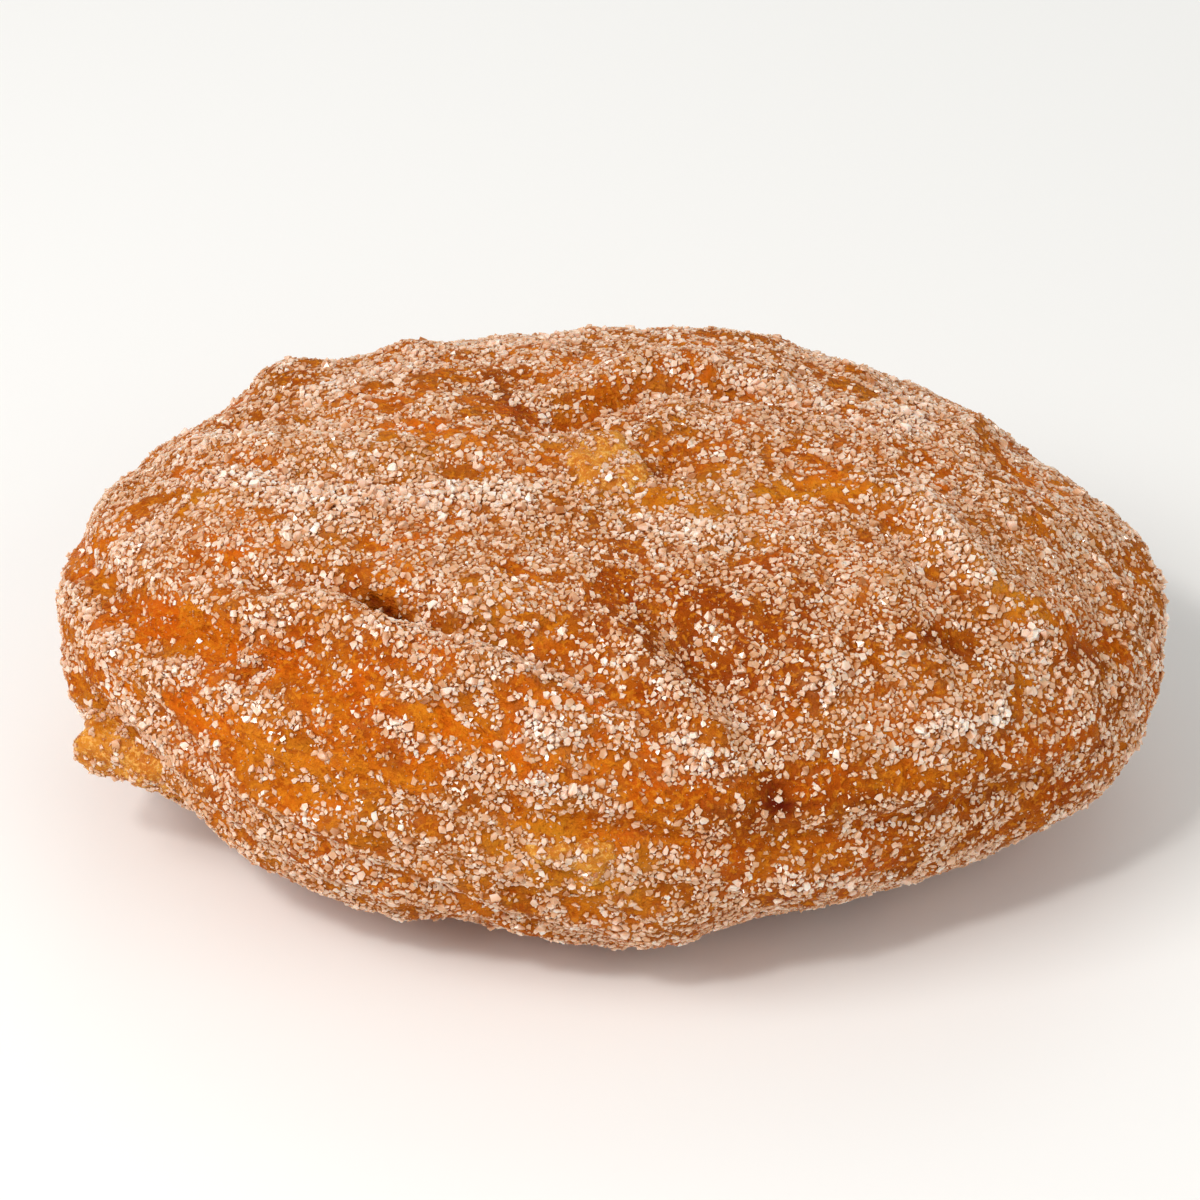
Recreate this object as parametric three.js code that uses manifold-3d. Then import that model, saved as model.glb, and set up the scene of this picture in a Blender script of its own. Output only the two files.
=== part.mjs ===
// An apple fritter: one oval of folded, fried dough with apple chunks showing at its crust and coarse sugar stuck on it.
// Millimetres, +Z up. The origin is the middle of the fritter's box, on the surface that it rests on.
// The dough starts as a ball, is swollen to an oval, folded and creased along named lines, and pressed flat below.
import * as THREE from "three";
import { ImprovedNoise } from "three/addons/math/ImprovedNoise.js";
import { mergeVertices } from "three/addons/utils/BufferGeometryUtils.js";
import Module from "manifold-3d";

// Driving dimensions of the body, before it is folded
const LENGTH = 102.6;
const DEPTH = 75.4;
const HEIGHT = 35;
const WAIST = 16; // height of the widest line round the side
const FLAT_SINK = 1.1; // how much of the underside is pressed flat by resting on it
const CROWN_ROUNDNESS = 2.35; // 2 is an ellipse, larger is boxier
const FOOT_ROUNDNESS = 2.4;

// How finely the skin is divided
const MESH_DETAIL = 19; // splits of each icosahedron edge
const UPWARD_DRAW = 0.25; // draws vertices up from the underside, 0 for none
const POLE_PULL = 1.6; // draws vertices from the rim to the broad top
const FOLD_STEPS = 48; // points taken along each fold line

// Swellings of the rim, seen from above: direction in degrees from +X, spread in degrees, reach past the oval.
const RIM_LOBES = [
  { name: "back right shoulder", at: 26, spread: 22, reach: -0.9 },
  { name: "back middle", at: 78, spread: 24, reach: 1 },
  { name: "back left shoulder", at: 130, spread: 26, reach: 2.5 },
  { name: "left tip", at: 168, spread: 18, reach: 0.8 },
  { name: "front left tuck", at: 214, spread: 18, reach: -3 },
  { name: "front belly", at: 262, spread: 34, reach: -2.2 },
  { name: "front right tuck", at: 306, spread: 18, reach: -2 },
  { name: "right end", at: 348, spread: 26, reach: 0.2 },
];

// Where dough was folded over itself. Each line has a raised lip and, beside it, the groove that the lip closes on.
// The groove lies to the left or right of the line, seen from outside and walking from its first point to its last.
const FOLDS = [
  {
    name: "front lip",
    line: [[-38, -10, 29], [-25, -14, 31.5], [-14, -21, 32], [-4, -27, 30.5], [3, -29.5, 29]],
    lip: { rise: 2.5, width: 2.8 },
    groove: { side: "left", depth: 2.8, width: 2, offset: 3.4 },
  },
  {
    name: "front slit",
    line: [[-24.5, -13, 32], [-20.5, -16.5, 32], [-15, -19, 32]],
    groove: { side: "left", depth: 4, width: 1.8, offset: 0.6 },
  },
  {
    name: "lip branch",
    line: [[-22, -26.5, 28.5], [-15, -25.5, 30], [-9, -23.5, 31.5]],
    lip: { rise: 1.1, width: 1.8 },
  },
  {
    name: "side fold",
    line: [[-22, -27, 28], [-11.5, -32, 26.5], [-4.5, -34.5, 24.5], [4, -35.5, 23.5]],
    lip: { rise: 1.3, width: 2.2 },
    groove: { side: "right", depth: 1.2, width: 1.7, offset: 3 },
  },
  {
    name: "left shoulder",
    line: [[-51, 3, 19], [-47, -8, 22], [-41, -15, 23.5], [-31, -22, 25.5]],
    lip: { rise: 1.2, width: 2.2 },
    groove: { side: "left", depth: 1.2, width: 2.2, offset: 3.6 },
  },
  {
    name: "left edge groove",
    line: [[-49, 12, 22], [-50, 6, 22], [-46.5, -4.5, 25.5], [-41, -10, 27]],
    groove: { side: "left", depth: 1.1, width: 2.2, offset: 0 },
  },
  {
    name: "cheek crack",
    line: [[-35.5, -19, 25], [-32.5, -18, 27.5], [-28, -18, 29.5]],
    lip: { rise: 0.6, width: 1.3 },
    groove: { side: "right", depth: 1, width: 1.3, offset: 1.5 },
  },
  {
    name: "low cheek fold",
    line: [[-41, -19, 15], [-33, -25, 17.5], [-24, -31, 18.5], [-12, -35, 17]],
    lip: { rise: 1.1, width: 2.6 },
    groove: { side: "left", depth: 0.9, width: 1.8, offset: 3.2 },
  },
  {
    name: "middle ridge",
    line: [[0, -20, 33], [4, -24.5, 31.5], [8, -28.5, 29.5], [11.5, -32, 26]],
    lip: { rise: 2.1, width: 2.2 },
    groove: { side: "left", depth: 2, width: 2.4, offset: 4 },
  },
  {
    name: "right ridge",
    line: [[19, 1, 34], [27, -2, 33], [31, -7.5, 32], [35, -12, 30.5], [41, -14.5, 27.5]],
    lip: { rise: 2.3, width: 2.5 },
    groove: { side: "right", depth: 1.7, width: 2.4, offset: 4.2 },
  },
  {
    name: "back fold",
    line: [[-9, 11, 34], [-3.5, 14.5, 34], [3, 17.5, 34], [10, 18, 33.5], [18, 16, 33]],
    lip: { rise: 2, width: 2.8 },
    groove: { side: "right", depth: 2.4, width: 2.2, offset: 4 },
  },
  {
    name: "front crease",
    line: [[2, -35, 24], [9, -34.5, 22.5], [16, -33.5, 22], [26, -29.5, 21], [35, -25, 21], [45, -18, 20]],
    lip: { rise: 1, width: 2.4 },
    groove: { side: "right", depth: 2.6, width: 1.9, offset: 3 },
  },
  {
    name: "right shoulder",
    line: [[20, -30, 27], [29, -26, 25.5], [38, -21.5, 24.5]],
    lip: { rise: 1.1, width: 2.3 },
  },
  {
    name: "right end fold",
    line: [[43, 20, 21], [50, 8, 21], [52, -6, 18], [49, -14, 14]],
    lip: { rise: 1.3, width: 2.8 },
    groove: { side: "left", depth: 1.4, width: 2.2, offset: 3.8 },
  },
  {
    name: "back wall fold",
    line: [[-30, 30, 19], [-12, 37, 23], [6, 39, 20], [22, 34, 22], [36, 26, 18]],
    lip: { rise: 1.7, width: 3 },
    groove: { side: "left", depth: 1.8, width: 2.3, offset: 4 },
  },
  {
    name: "back low fold",
    line: [[-46, 16, 11], [-33, 28, 9], [-16, 35, 10], [-2, 36, 7]],
    lip: { rise: 1.2, width: 2.8 },
    groove: { side: "right", depth: 1.3, width: 2.2, offset: 3.6 },
  },
  {
    name: "top left pleat",
    line: [[-38, 12, 30], [-28, 6, 33], [-18, 4, 34.5], [-8, 5, 35]],
    lip: { rise: 0.8, width: 3 },
    groove: { side: "right", depth: 0.9, width: 2.4, offset: 4.4 },
  },
  {
    name: "underside seam",
    line: [[-38, -2, 2], [-18, 6, 0], [4, -3, 0], [24, 5, 0], [38, 0, 2]],
    groove: { side: "left", depth: 3, width: 2.6, offset: 0 },
  },
  {
    name: "underside back branch",
    line: [[-14, 28, 4], [-9, 17, 1], [-4, 4, 0]],
    groove: { side: "left", depth: 2.4, width: 2.3, offset: 0 },
  },
  {
    name: "underside front branch",
    line: [[20, -25, 4], [21, -12, 1], [15, 1, 0]],
    groove: { side: "left", depth: 2.4, width: 2.3, offset: 0 },
  },
];

// Lumps of dough, and hollows where the rise is negative.
const LUMPS = [
  { name: "left lobe", at: [-30, -4, 32], rise: 1.2, radius: 13 },
  { name: "right lobe", at: [24, -17, 31], rise: 1.3, radius: 12 },
  { name: "back lobe", at: [12, 24, 31], rise: 1, radius: 9 },
  { name: "middle valley", at: [4, -8, 35], rise: -1.5, radius: 8 },
  { name: "valley foot", at: [7, -19.5, 33], rise: -1.7, radius: 6 },
  { name: "right hollow", at: [31, -18, 29.5], rise: -1.5, radius: 3.2 },
  { name: "right end hollow", at: [46, -12, 25], rise: -1, radius: 4 },
  { name: "back pit", at: [-5, 9.5, 34.5], rise: -1.4, radius: 2.6 },
  { name: "apple pit", at: [5.5, 2, 35], rise: -1.3, radius: 2.6 },
  { name: "crease pit", at: [15.5, -33.6, 22], rise: -2, radius: 2.2 },
  { name: "front heap", at: [-5, -30, 29], rise: 1, radius: 3 },
  { name: "pale bump", at: [-11, -17.5, 33], rise: 1.2, radius: 3.4 },
  { name: "back left knob", at: [-31, 25, 27.5], rise: 1.9, radius: 4.2 },
  { name: "knob hollow", at: [-35.5, 14.5, 30], rise: -1.6, radius: 3 },
  { name: "far knob", at: [-20, 28, 29.5], rise: 1.5, radius: 3.4 },
  { name: "far dip", at: [29, 22, 28.5], rise: -1.3, radius: 3.5 },
  { name: "far bump", at: [35, 17.5, 28.5], rise: 0.8, radius: 4 },
  { name: "front skirt", at: [2, -35, 8], rise: 1, radius: 8 },
  { name: "skirt notch", at: [15, -33, 5], rise: -2.2, radius: 5 },
  { name: "left foot", at: [-34, -23, 10], rise: 0.6, radius: 7 },
];

// Low pleats across the front left wall, and the crust's general unevenness.
const PLEATS = { pitch: 4.6, slope: 0.28, rise: 0.35, waver: 1.4 };
const SWELL = { size: 11, rise: 0.9 };
const BLISTER = { size: 4.5, rise: 0.45 };

// Apple chunks that show: middle, half sizes and turn in degrees about X, Y and Z.
const CHUNKS = [
  { name: "apple_chunk_top", at: [-0.5, 1.8, 32.7], half: [4.2, 4.8, 3], turn: [8, -6, 20] },
  { name: "apple_chunk_side", at: [-43.5, -14.4, 13.1], half: [5.7, 2.7, 2.4], turn: [4, 10, -18] },
  { name: "apple_chunk_front", at: [-3.2, -33.4, 17.6], half: [4.6, 3, 3], turn: [12, 4, -3] },
];
const CHUNK_SQUARENESS = 3.4; // 2 is a ball, larger is nearer a cut cube
const CHUNK_DETAIL = 3;
const CHUNK_UNEVENNESS = 0.07; // share of its size
const CHUNK_GAP = 0.35; // clear space round each chunk in its pocket

// Coarse sugar: clots of crystals, the largest grains of the coat.
const SUGAR_COUNT = 84;
const SUGAR_SPACING = 7; // nearest two of them, middle to middle
const SUGAR_SIZE = [1.5, 2.6]; // shortest and longest
const SUGAR_FLATNESS = 0.7; // height over width
const SUGAR_SINK = 0.25; // how far a middle lies under the crust
const SUGAR_FLOOR = 3; // none lower than this, where it would lift the fritter
const SUGAR_SEED = 20;

const COLOURS = { dough: 0xc8721f, apple: 0xd9a441 };
const DEGREE = Math.PI / 180;
const noise = new ImprovedNoise();
const wasm = await Module();
wasm.setup();

// A smooth hump that is 1 at no distance and about a third at one width.
function hump(distance, width) {
  return Math.exp(-((distance / width) ** 2));
}

// The shortest way round between two directions, in degrees.
function turnBetween(a, b) {
  return Math.abs(((((a - b) % 360) + 540) % 360) - 180);
}

// Smooth noise between about -1 and 1 whose bumps are as large as size.
function unevenness(point, size) {
  return noise.noise(point.x / size, point.y / size, point.z / size);
}

// A generator of numbers from 0 to 1 that gives the same run each time.
function seededNumbers(seed) {
  let state = seed >>> 0;
  return () => {
    state = (Math.imul(state, 1664525) + 1013904223) >>> 0;
    return state / 2 ** 32;
  };
}

// How far the rim reaches past the plain oval in a direction.
function rimReach(direction) {
  return RIM_LOBES.reduce((sum, lobe) => sum + lobe.reach * hump(turnBetween(direction, lobe.at), lobe.spread), 0);
}

// The point of the plain, unfolded body that a direction from its middle meets.
function bodyPoint(direction) {
  const z = (direction.z + UPWARD_DRAW) / (1 + UPWARD_DRAW * direction.z);
  const spread = Math.sqrt(1 - UPWARD_DRAW ** 2) / (1 + UPWARD_DRAW * direction.z);
  const rising = z > 0;
  const d = new THREE.Vector3(direction.x * spread, direction.y * spread, z * (rising ? POLE_PULL : 1)).normalize();
  const power = rising ? CROWN_ROUNDNESS : FOOT_ROUNDNESS;
  const scale = (Math.hypot(d.x, d.y) ** power + Math.abs(d.z) ** power) ** (-1 / power);
  const reach = rimReach(Math.atan2(d.y, d.x) / DEGREE);
  const rise = rising ? HEIGHT - WAIST : WAIST + FLAT_SINK;
  return new THREE.Vector3(
    d.x * scale * (LENGTH / 2 + reach),
    d.y * scale * (DEPTH / 2 + reach),
    WAIST + d.z * scale * rise,
  );
}

// A fold's line as evenly spaced stations, each with its place, its heading and its share of the way along.
function foldStations(fold) {
  const curve = new THREE.CatmullRomCurve3(fold.line.map((p) => new THREE.Vector3(...p)));
  return curve.getSpacedPoints(FOLD_STEPS).map((place, i) => ({
    place,
    heading: curve.getTangentAt(i / FOLD_STEPS),
    along: i / FOLD_STEPS,
  }));
}

const foldLines = FOLDS.map((fold) => ({ ...fold, stations: foldStations(fold) }));

// What one fold adds to the height of the skin at a point.
function foldRise(fold, point, normal) {
  const nearest = fold.stations.reduce((best, s) =>
    s.place.distanceToSquared(point) < best.place.distanceToSquared(point) ? s : best,
  );
  const away = point.clone().sub(nearest.place);
  const leftward = new THREE.Vector3().crossVectors(normal, nearest.heading).normalize().dot(away);
  const distance = away.length();
  const fade = Math.sqrt(Math.sin(Math.PI * THREE.MathUtils.clamp(nearest.along, 0.02, 0.98)));
  const lip = fold.lip ? fold.lip.rise * hump(distance, fold.lip.width) : 0;
  if (!fold.groove) return lip * fade;
  const { side, depth, width, offset } = fold.groove;
  const beside = leftward - (side === "left" ? offset : -offset);
  const beyond = Math.sqrt(Math.max(distance ** 2 - leftward ** 2, 0));
  return (lip - depth * hump(beside, width) * hump(beyond, width * 2)) * fade;
}

// Low pleats that run round the front left wall and fade out on the flatter top.
function pleatRise(point, normal) {
  const wall = THREE.MathUtils.smoothstep(-normal.y, 0.2, 0.7) * THREE.MathUtils.smoothstep(-point.x, -14, 10);
  const level = point.z + PLEATS.slope * point.x + PLEATS.waver * unevenness(point, SWELL.size);
  return PLEATS.rise * wall * Math.sin((2 * Math.PI * level) / PLEATS.pitch);
}

// How far the crust stands above the plain body at a point.
function reliefAt(point, normal) {
  const folds = foldLines.reduce((sum, fold) => sum + foldRise(fold, point, normal), 0);
  const lumps = LUMPS.reduce(
    (sum, lump) => sum + lump.rise * hump(point.distanceTo(new THREE.Vector3(...lump.at)), lump.radius),
    0,
  );
  const crust = SWELL.rise * unevenness(point, SWELL.size) + BLISTER.rise * unevenness(point, BLISTER.size);
  return folds + lumps + pleatRise(point, normal) + crust;
}

// A ball's skin with its shared vertices merged, ready to be reshaped.
function ballSkin(detail) {
  const ball = new THREE.IcosahedronGeometry(1, detail);
  ball.deleteAttribute("normal");
  ball.deleteAttribute("uv");
  return mergeVertices(ball);
}

// Moves each vertex of a skin to where a function of its place and normal puts it.
function reshape(skin, place) {
  skin.computeVertexNormals();
  const position = skin.getAttribute("position");
  const normal = skin.getAttribute("normal").clone();
  const at = new THREE.Vector3();
  const facing = new THREE.Vector3();
  for (let i = 0; i < position.count; i++) {
    const moved = place(at.fromBufferAttribute(position, i), facing.fromBufferAttribute(normal, i));
    position.setXYZ(i, moved.x, moved.y, moved.z);
  }
  skin.deleteAttribute("normal");
  return skin;
}

// A skin as a solid that can be joined and cut.
function solidFrom(skin) {
  const merged = mergeVertices(skin);
  return new wasm.Manifold(
    new wasm.Mesh({
      numProp: 3,
      vertProperties: new Float32Array(merged.getAttribute("position").array),
      triVerts: new Uint32Array(merged.index.array),
    }),
  );
}

// A plain geometry class's shape as a solid, once its normals and texture places are dropped.
function solidFromShape(shape) {
  shape.deleteAttribute("normal");
  shape.deleteAttribute("uv");
  return solidFrom(shape);
}

function geometryFrom(solid) {
  const mesh = solid.getMesh();
  const geometry = new THREE.BufferGeometry();
  geometry.setAttribute("position", new THREE.BufferAttribute(mesh.vertProperties, 3));
  geometry.setIndex(new THREE.BufferAttribute(mesh.triVerts, 1));
  geometry.computeVertexNormals();
  return geometry;
}

// The folded dough's skin, still round below.
function doughSkin() {
  const body = reshape(ballSkin(MESH_DETAIL), bodyPoint);
  return reshape(body, (p, n) => p.clone().addScaledVector(n, reliefAt(p, n)));
}

// Everything below the resting surface, for cutting the underside flat.
function floorBlock() {
  const block = new THREE.BoxGeometry(2 * LENGTH, 2 * DEPTH, HEIGHT);
  block.translate(0, 0, -HEIGHT / 2);
  return solidFromShape(block);
}

// A diced piece of apple, grown by a margin on every side.
function chunkSkin(chunk, margin) {
  const half = new THREE.Vector3(...chunk.half);
  const turn = new THREE.Euler(...chunk.turn.map((degrees) => degrees * DEGREE));
  return reshape(ballSkin(CHUNK_DETAIL), (p) => {
    const square = p.toArray().reduce((sum, v) => sum + Math.abs(v) ** CHUNK_SQUARENESS, 0) ** (-1 / CHUNK_SQUARENESS);
    const uneven = 1 + CHUNK_UNEVENNESS * unevenness(p.clone().addScalar(half.x), 0.6);
    const cut = p.clone().multiplyScalar(square * uneven).multiply(half);
    return cut.addScaledVector(p, margin).applyEuler(turn).add(new THREE.Vector3(...chunk.at));
  });
}

// Places for coarse sugar: spread over the crust above the foot, apart from each other and clear of the apple.
function sugarPlaces(skin) {
  skin.computeVertexNormals();
  const position = skin.getAttribute("position");
  const normal = skin.getAttribute("normal");
  const number = seededNumbers(SUGAR_SEED);
  const places = Array.from({ length: position.count }, (_, i) => ({
    at: new THREE.Vector3().fromBufferAttribute(position, i),
    facing: new THREE.Vector3().fromBufferAttribute(normal, i),
    turn: number(),
  })).sort((a, b) => a.turn - b.turn);
  const clearOfApple = (p) =>
    CHUNKS.every((c) => p.distanceTo(new THREE.Vector3(...c.at)) > Math.max(...c.half) + SUGAR_SIZE[1] + CHUNK_GAP);
  const chosen = [];
  for (const place of places) {
    if (chosen.length === SUGAR_COUNT) break;
    if (place.at.z < SUGAR_FLOOR || !clearOfApple(place.at)) continue;
    if (chosen.every((c) => c.at.distanceTo(place.at) > SUGAR_SPACING)) chosen.push(place);
  }
  return chosen;
}

// A clot of sugar crystals at a place on the crust.
function sugarClot(place, number) {
  const size = THREE.MathUtils.lerp(...SUGAR_SIZE, number() ** 2);
  const clot = new THREE.BoxGeometry(size, size * (0.6 + 0.4 * number()), size * SUGAR_FLATNESS);
  const lie = new THREE.Quaternion().setFromUnitVectors(new THREE.Vector3(0, 0, 1), place.facing);
  const spin = new THREE.Quaternion().setFromEuler(
    new THREE.Euler((number() - 0.5) * 0.8, (number() - 0.5) * 0.8, number() * Math.PI),
  );
  clot.applyQuaternion(lie.multiply(spin));
  const middle = place.at.clone().addScaledVector(place.facing, -SUGAR_SINK);
  clot.translate(middle.x, middle.y, middle.z);
  return solidFromShape(clot);
}

// The dough with its sugar fused on, its apple pockets cut and its underside flat.
function doughSolid() {
  const skin = doughSkin();
  const number = seededNumbers(SUGAR_SEED + 1);
  const clots = sugarPlaces(skin).map((place) => sugarClot(place, number));
  const pockets = CHUNKS.map((chunk) => solidFrom(chunkSkin(chunk, CHUNK_GAP)));
  const sugared = clots.reduce((whole, clot) => whole.add(clot), solidFrom(skin));
  return pockets.reduce((whole, pocket) => whole.subtract(pocket), sugared).subtract(floorBlock());
}

function meshOf(name, solid, color, roughness) {
  const mesh = new THREE.Mesh(
    geometryFrom(solid),
    new THREE.MeshStandardMaterial({ color, roughness, metalness: 0 }),
  );
  mesh.name = name;
  return mesh;
}

// The pieces, moved together so that the origin is under the middle of the whole.
const pieces = new THREE.Group();
pieces.add(meshOf("dough", doughSolid(), COLOURS.dough, 0.5));
for (const chunk of CHUNKS) {
  pieces.add(meshOf(chunk.name, solidFrom(chunkSkin(chunk, 0)), COLOURS.apple, 0.4));
}
const middle = new THREE.Box3().setFromObject(pieces).getCenter(new THREE.Vector3());
pieces.position.set(-middle.x, -middle.y, 0);

const fritter = new THREE.Group();
fritter.add(pieces);

export default fritter;
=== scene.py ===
"""Dresses the apple fritter: a folded, fried crust, diced apple at its surface and a coat of coarse sugar.

Sizes are in millimetres until a mesh is made. Points lie in the dough's own frame, whose origin is the
middle of the plan of the unfolded body; BODY_OFFSET moves them to the frame of the solids.
"""

import logging
import math
from dataclasses import dataclass
from enum import Enum

import bmesh
import bpy
import numpy as np
from mathutils import Euler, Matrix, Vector, noise


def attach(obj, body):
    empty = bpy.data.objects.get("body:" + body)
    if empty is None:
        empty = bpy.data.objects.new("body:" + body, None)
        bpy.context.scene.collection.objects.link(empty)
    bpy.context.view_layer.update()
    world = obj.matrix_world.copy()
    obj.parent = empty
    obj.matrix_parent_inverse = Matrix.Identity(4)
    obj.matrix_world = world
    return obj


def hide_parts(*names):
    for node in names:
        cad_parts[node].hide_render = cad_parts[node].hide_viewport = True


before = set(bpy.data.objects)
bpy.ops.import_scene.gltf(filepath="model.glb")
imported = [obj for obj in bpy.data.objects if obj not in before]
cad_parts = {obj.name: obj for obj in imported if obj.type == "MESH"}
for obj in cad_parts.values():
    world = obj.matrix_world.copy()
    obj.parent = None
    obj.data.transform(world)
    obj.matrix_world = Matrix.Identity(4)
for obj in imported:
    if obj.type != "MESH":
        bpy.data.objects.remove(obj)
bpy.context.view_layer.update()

log = logging.getLogger("fritter")

MM = 0.001
BODY_OFFSET = np.array([0.325, -1.617, 0.0])

Point = tuple[float, float, float]
Colour = tuple[float, float, float, float]
Cell = tuple[int, int, int]
Taken = dict[Cell, list[tuple[np.ndarray, float]]]


def srgb(red: int, green: int, blue: int) -> Colour:
    """A screen colour as the linear colour that shaders take.

    Args:
        red: Red from 0 to 255.
        green: Green from 0 to 255.
        blue: Blue from 0 to 255.

    Returns:
        The linear colour, with full alpha.
    """
    shares = (red / 255, green / 255, blue / 255)
    linear = [c / 12.92 if c <= 0.04045 else ((c + 0.055) / 1.055) ** 2.4 for c in shares]
    return (linear[0], linear[1], linear[2], 1.0)


def hump(distance: np.ndarray, width: float) -> np.ndarray:
    """A smooth hump that is 1 at no distance and about a third at one width."""
    return np.exp(-((distance / width) ** 2))


def smoothstep(value: np.ndarray, low: float, high: float) -> np.ndarray:
    """Rises smoothly from 0 at low to 1 at high."""
    share = np.clip((value - low) / (high - low), 0, 1)
    return share * share * (3 - 2 * share)


def unevenness(points: np.ndarray, size: float, shift: float = 0.0) -> np.ndarray:
    """Smooth noise from about -1 to 1.

    Args:
        points: Where it is wanted, one row a point.
        size: How large its bumps are.
        shift: Moves the pattern, so that two layers differ.

    Returns:
        One number a point.
    """
    return np.array([noise.noise(Vector(p)) for p in points / size + shift])


def drawn_out(points: np.ndarray, heading: tuple[float, float], share: float) -> np.ndarray:
    """Squeezes points along a level heading, so that a pattern read there is drawn out along it.

    Args:
        points: One row a point.
        heading: The heading's two level parts, of length 1 together.
        share: How much of the length along the heading is kept.

    Returns:
        The squeezed points, turned to the heading.
    """
    x, y = heading
    along = share * (x * points[:, 0] + y * points[:, 1])
    across = x * points[:, 1] - y * points[:, 0]
    return np.stack([along, across, points[:, 2]], axis=1)


def curve(line: tuple[Point, ...], steps: int) -> np.ndarray:
    """Points along the smooth curve through a line's points.

    Args:
        line: The points to pass through.
        steps: How many points to give back.

    Returns:
        One row a point, evenly spread over the line's spans.
    """
    knots = np.array(line, float)
    knots = np.vstack([2 * knots[0] - knots[1], knots, 2 * knots[-1] - knots[-2]])
    spans = np.linspace(0, len(line) - 1, steps)
    span = np.minimum(spans.astype(int), len(line) - 2)
    t = (spans - span)[:, None]
    a, b, c, d = (knots[span + i] for i in range(4))
    return 0.5 * (2 * b + (c - a) * t + (2 * a - 5 * b + 4 * c - d) * t**2 + (3 * b - a - 3 * c + d) * t**3)


@dataclass(frozen=True)
class Layer:
    """A layer of smooth unevenness.

    Attributes:
        gain: How strong it is.
        size: How large its bumps are.
        shift: Moves the pattern, so that two layers differ.
    """

    gain: float
    size: float
    shift: float = 0.0

    def at(self, points: np.ndarray) -> np.ndarray:
        """The layer's value at each point, from about -gain to gain."""
        return self.gain * unevenness(points, self.size, self.shift)


class Side(Enum):
    """The side of a fold's line that its groove lies on, seen from outside and walking along the line."""

    LEFT = 1
    ON_LINE = 0
    RIGHT = -1


@dataclass(frozen=True)
class RimLobe:
    """A swelling of the rim, seen from above.

    Attributes:
        at: Its direction, in degrees.
        spread: How far to each side it falls to about a third, in degrees.
        reach: How far it stands past the oval, or inside it where negative.
    """

    at: float
    spread: float
    reach: float


@dataclass(frozen=True)
class Lump:
    """A lump of dough, or a hollow where the rise is negative."""

    at: Point
    rise: float
    radius: float

    def height(self, points: np.ndarray) -> np.ndarray:
        """What the lump adds to the skin's height at each point."""
        return self.rise * hump(np.linalg.norm(points - np.array(self.at), axis=1), self.radius)


@dataclass(frozen=True)
class Streak:
    """A line along the crust where something is stronger: bareness, browning or sugar.

    Attributes:
        line: The points that it passes through.
        width: How far from the line it falls to about a third.
        amount: How strong it is on the line.
    """

    line: tuple[Point, ...]
    width: float
    amount: float = 1.0

    STEPS = 24
    SKIN_REACH = 0.9

    def share(self, points: np.ndarray, normals: np.ndarray) -> np.ndarray:
        """How strong the streak is at each point.

        Args:
            points: Points on the crust.
            normals: Their outward normals.

        Returns:
            One number a point. Distance along the normal counts for little, so a streak lies on the
            crust's relief.
        """
        stations = curve(self.line, self.STEPS)
        nearest = ((points[:, None] - stations[None]) ** 2).sum(2).argmin(1)
        away = points - stations[nearest]
        height = (away * normals).sum(1)
        sideways = np.sqrt(np.maximum((away**2).sum(1) - self.SKIN_REACH * height**2, 0))
        return self.amount * hump(sideways, self.width)


def streaked(streaks: dict[str, Streak], points: np.ndarray, normals: np.ndarray) -> np.ndarray:
    """How strong a table's streaks are at each point, added up."""
    return sum(streak.share(points, normals) for streak in streaks.values())


@dataclass(frozen=True)
class Fold:
    """A line where dough lies over itself: a raised lip and, beside it, the groove that the lip closes on.

    Attributes:
        line: The points that the lip passes through.
        lip: How high the lip stands.
        lip_width: How far from the line the lip falls to about a third.
        side: The side that the groove lies on.
        groove: How deep the groove is.
        groove_width: How far from its middle the groove falls to about a third.
        offset: How far the groove lies from the line.
    """

    line: tuple[Point, ...]
    lip: float = 0.0
    lip_width: float = 2.0
    side: Side = Side.ON_LINE
    groove: float = 0.0
    groove_width: float = 2.0
    offset: float = 0.0

    STEPS = 60
    ENDS = 0.02
    TINY = 1e-9
    END_REACH = 2

    def shares(self, points: np.ndarray, normals: np.ndarray) -> tuple[np.ndarray, np.ndarray]:
        """How much of the lip and of the groove there is at each point.

        Args:
            points: Points on the unfolded body.
            normals: Their outward normals.

        Returns:
            The lip's share and the groove's share, each from 0 to 1.
        """
        stations = curve(self.line, self.STEPS)
        headings = np.gradient(stations, axis=0)
        headings /= np.linalg.norm(headings, axis=1)[:, None]
        nearest = ((points[:, None] - stations[None]) ** 2).sum(2).argmin(1)
        away = points - stations[nearest]
        leftward = np.cross(normals, headings[nearest])
        leftward /= np.linalg.norm(leftward, axis=1)[:, None] + self.TINY
        beside = (leftward * away).sum(1)
        distance = np.linalg.norm(away, axis=1)
        beyond = np.sqrt(np.maximum(distance**2 - beside**2, 0))
        along = np.clip(nearest / (self.STEPS - 1), self.ENDS, 1 - self.ENDS)
        fade = np.sqrt(np.sin(np.pi * along))
        lip = hump(distance, self.lip_width) * fade
        groove = hump(beside - self.side.value * self.offset, self.groove_width)
        return lip, groove * hump(beyond, self.END_REACH * self.groove_width) * fade


# Lines that streaks of two tables follow.
RIGHT_RIDGE = ((26, -1.5, 34.4), (29, -4.3, 34.4), (31.5, -9.6, 33.5), (35, -12.2, 32.2))
RIGHT_BACK = ((15, -1.3, 33.8), (19.8, -1.5, 34), (22.7, -2.4, 34))

# Swellings and dents of the rim, from the right end round by the back.
RIM_LOBES = (
    RimLobe(26, 22, -0.9),
    RimLobe(78, 24, 1),
    RimLobe(130, 26, 2.5),
    RimLobe(168, 18, 0.8),
    RimLobe(214, 18, -3),
    RimLobe(262, 34, -2.2),
    RimLobe(306, 18, -2),
    RimLobe(348, 26, 0.2),
)

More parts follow.
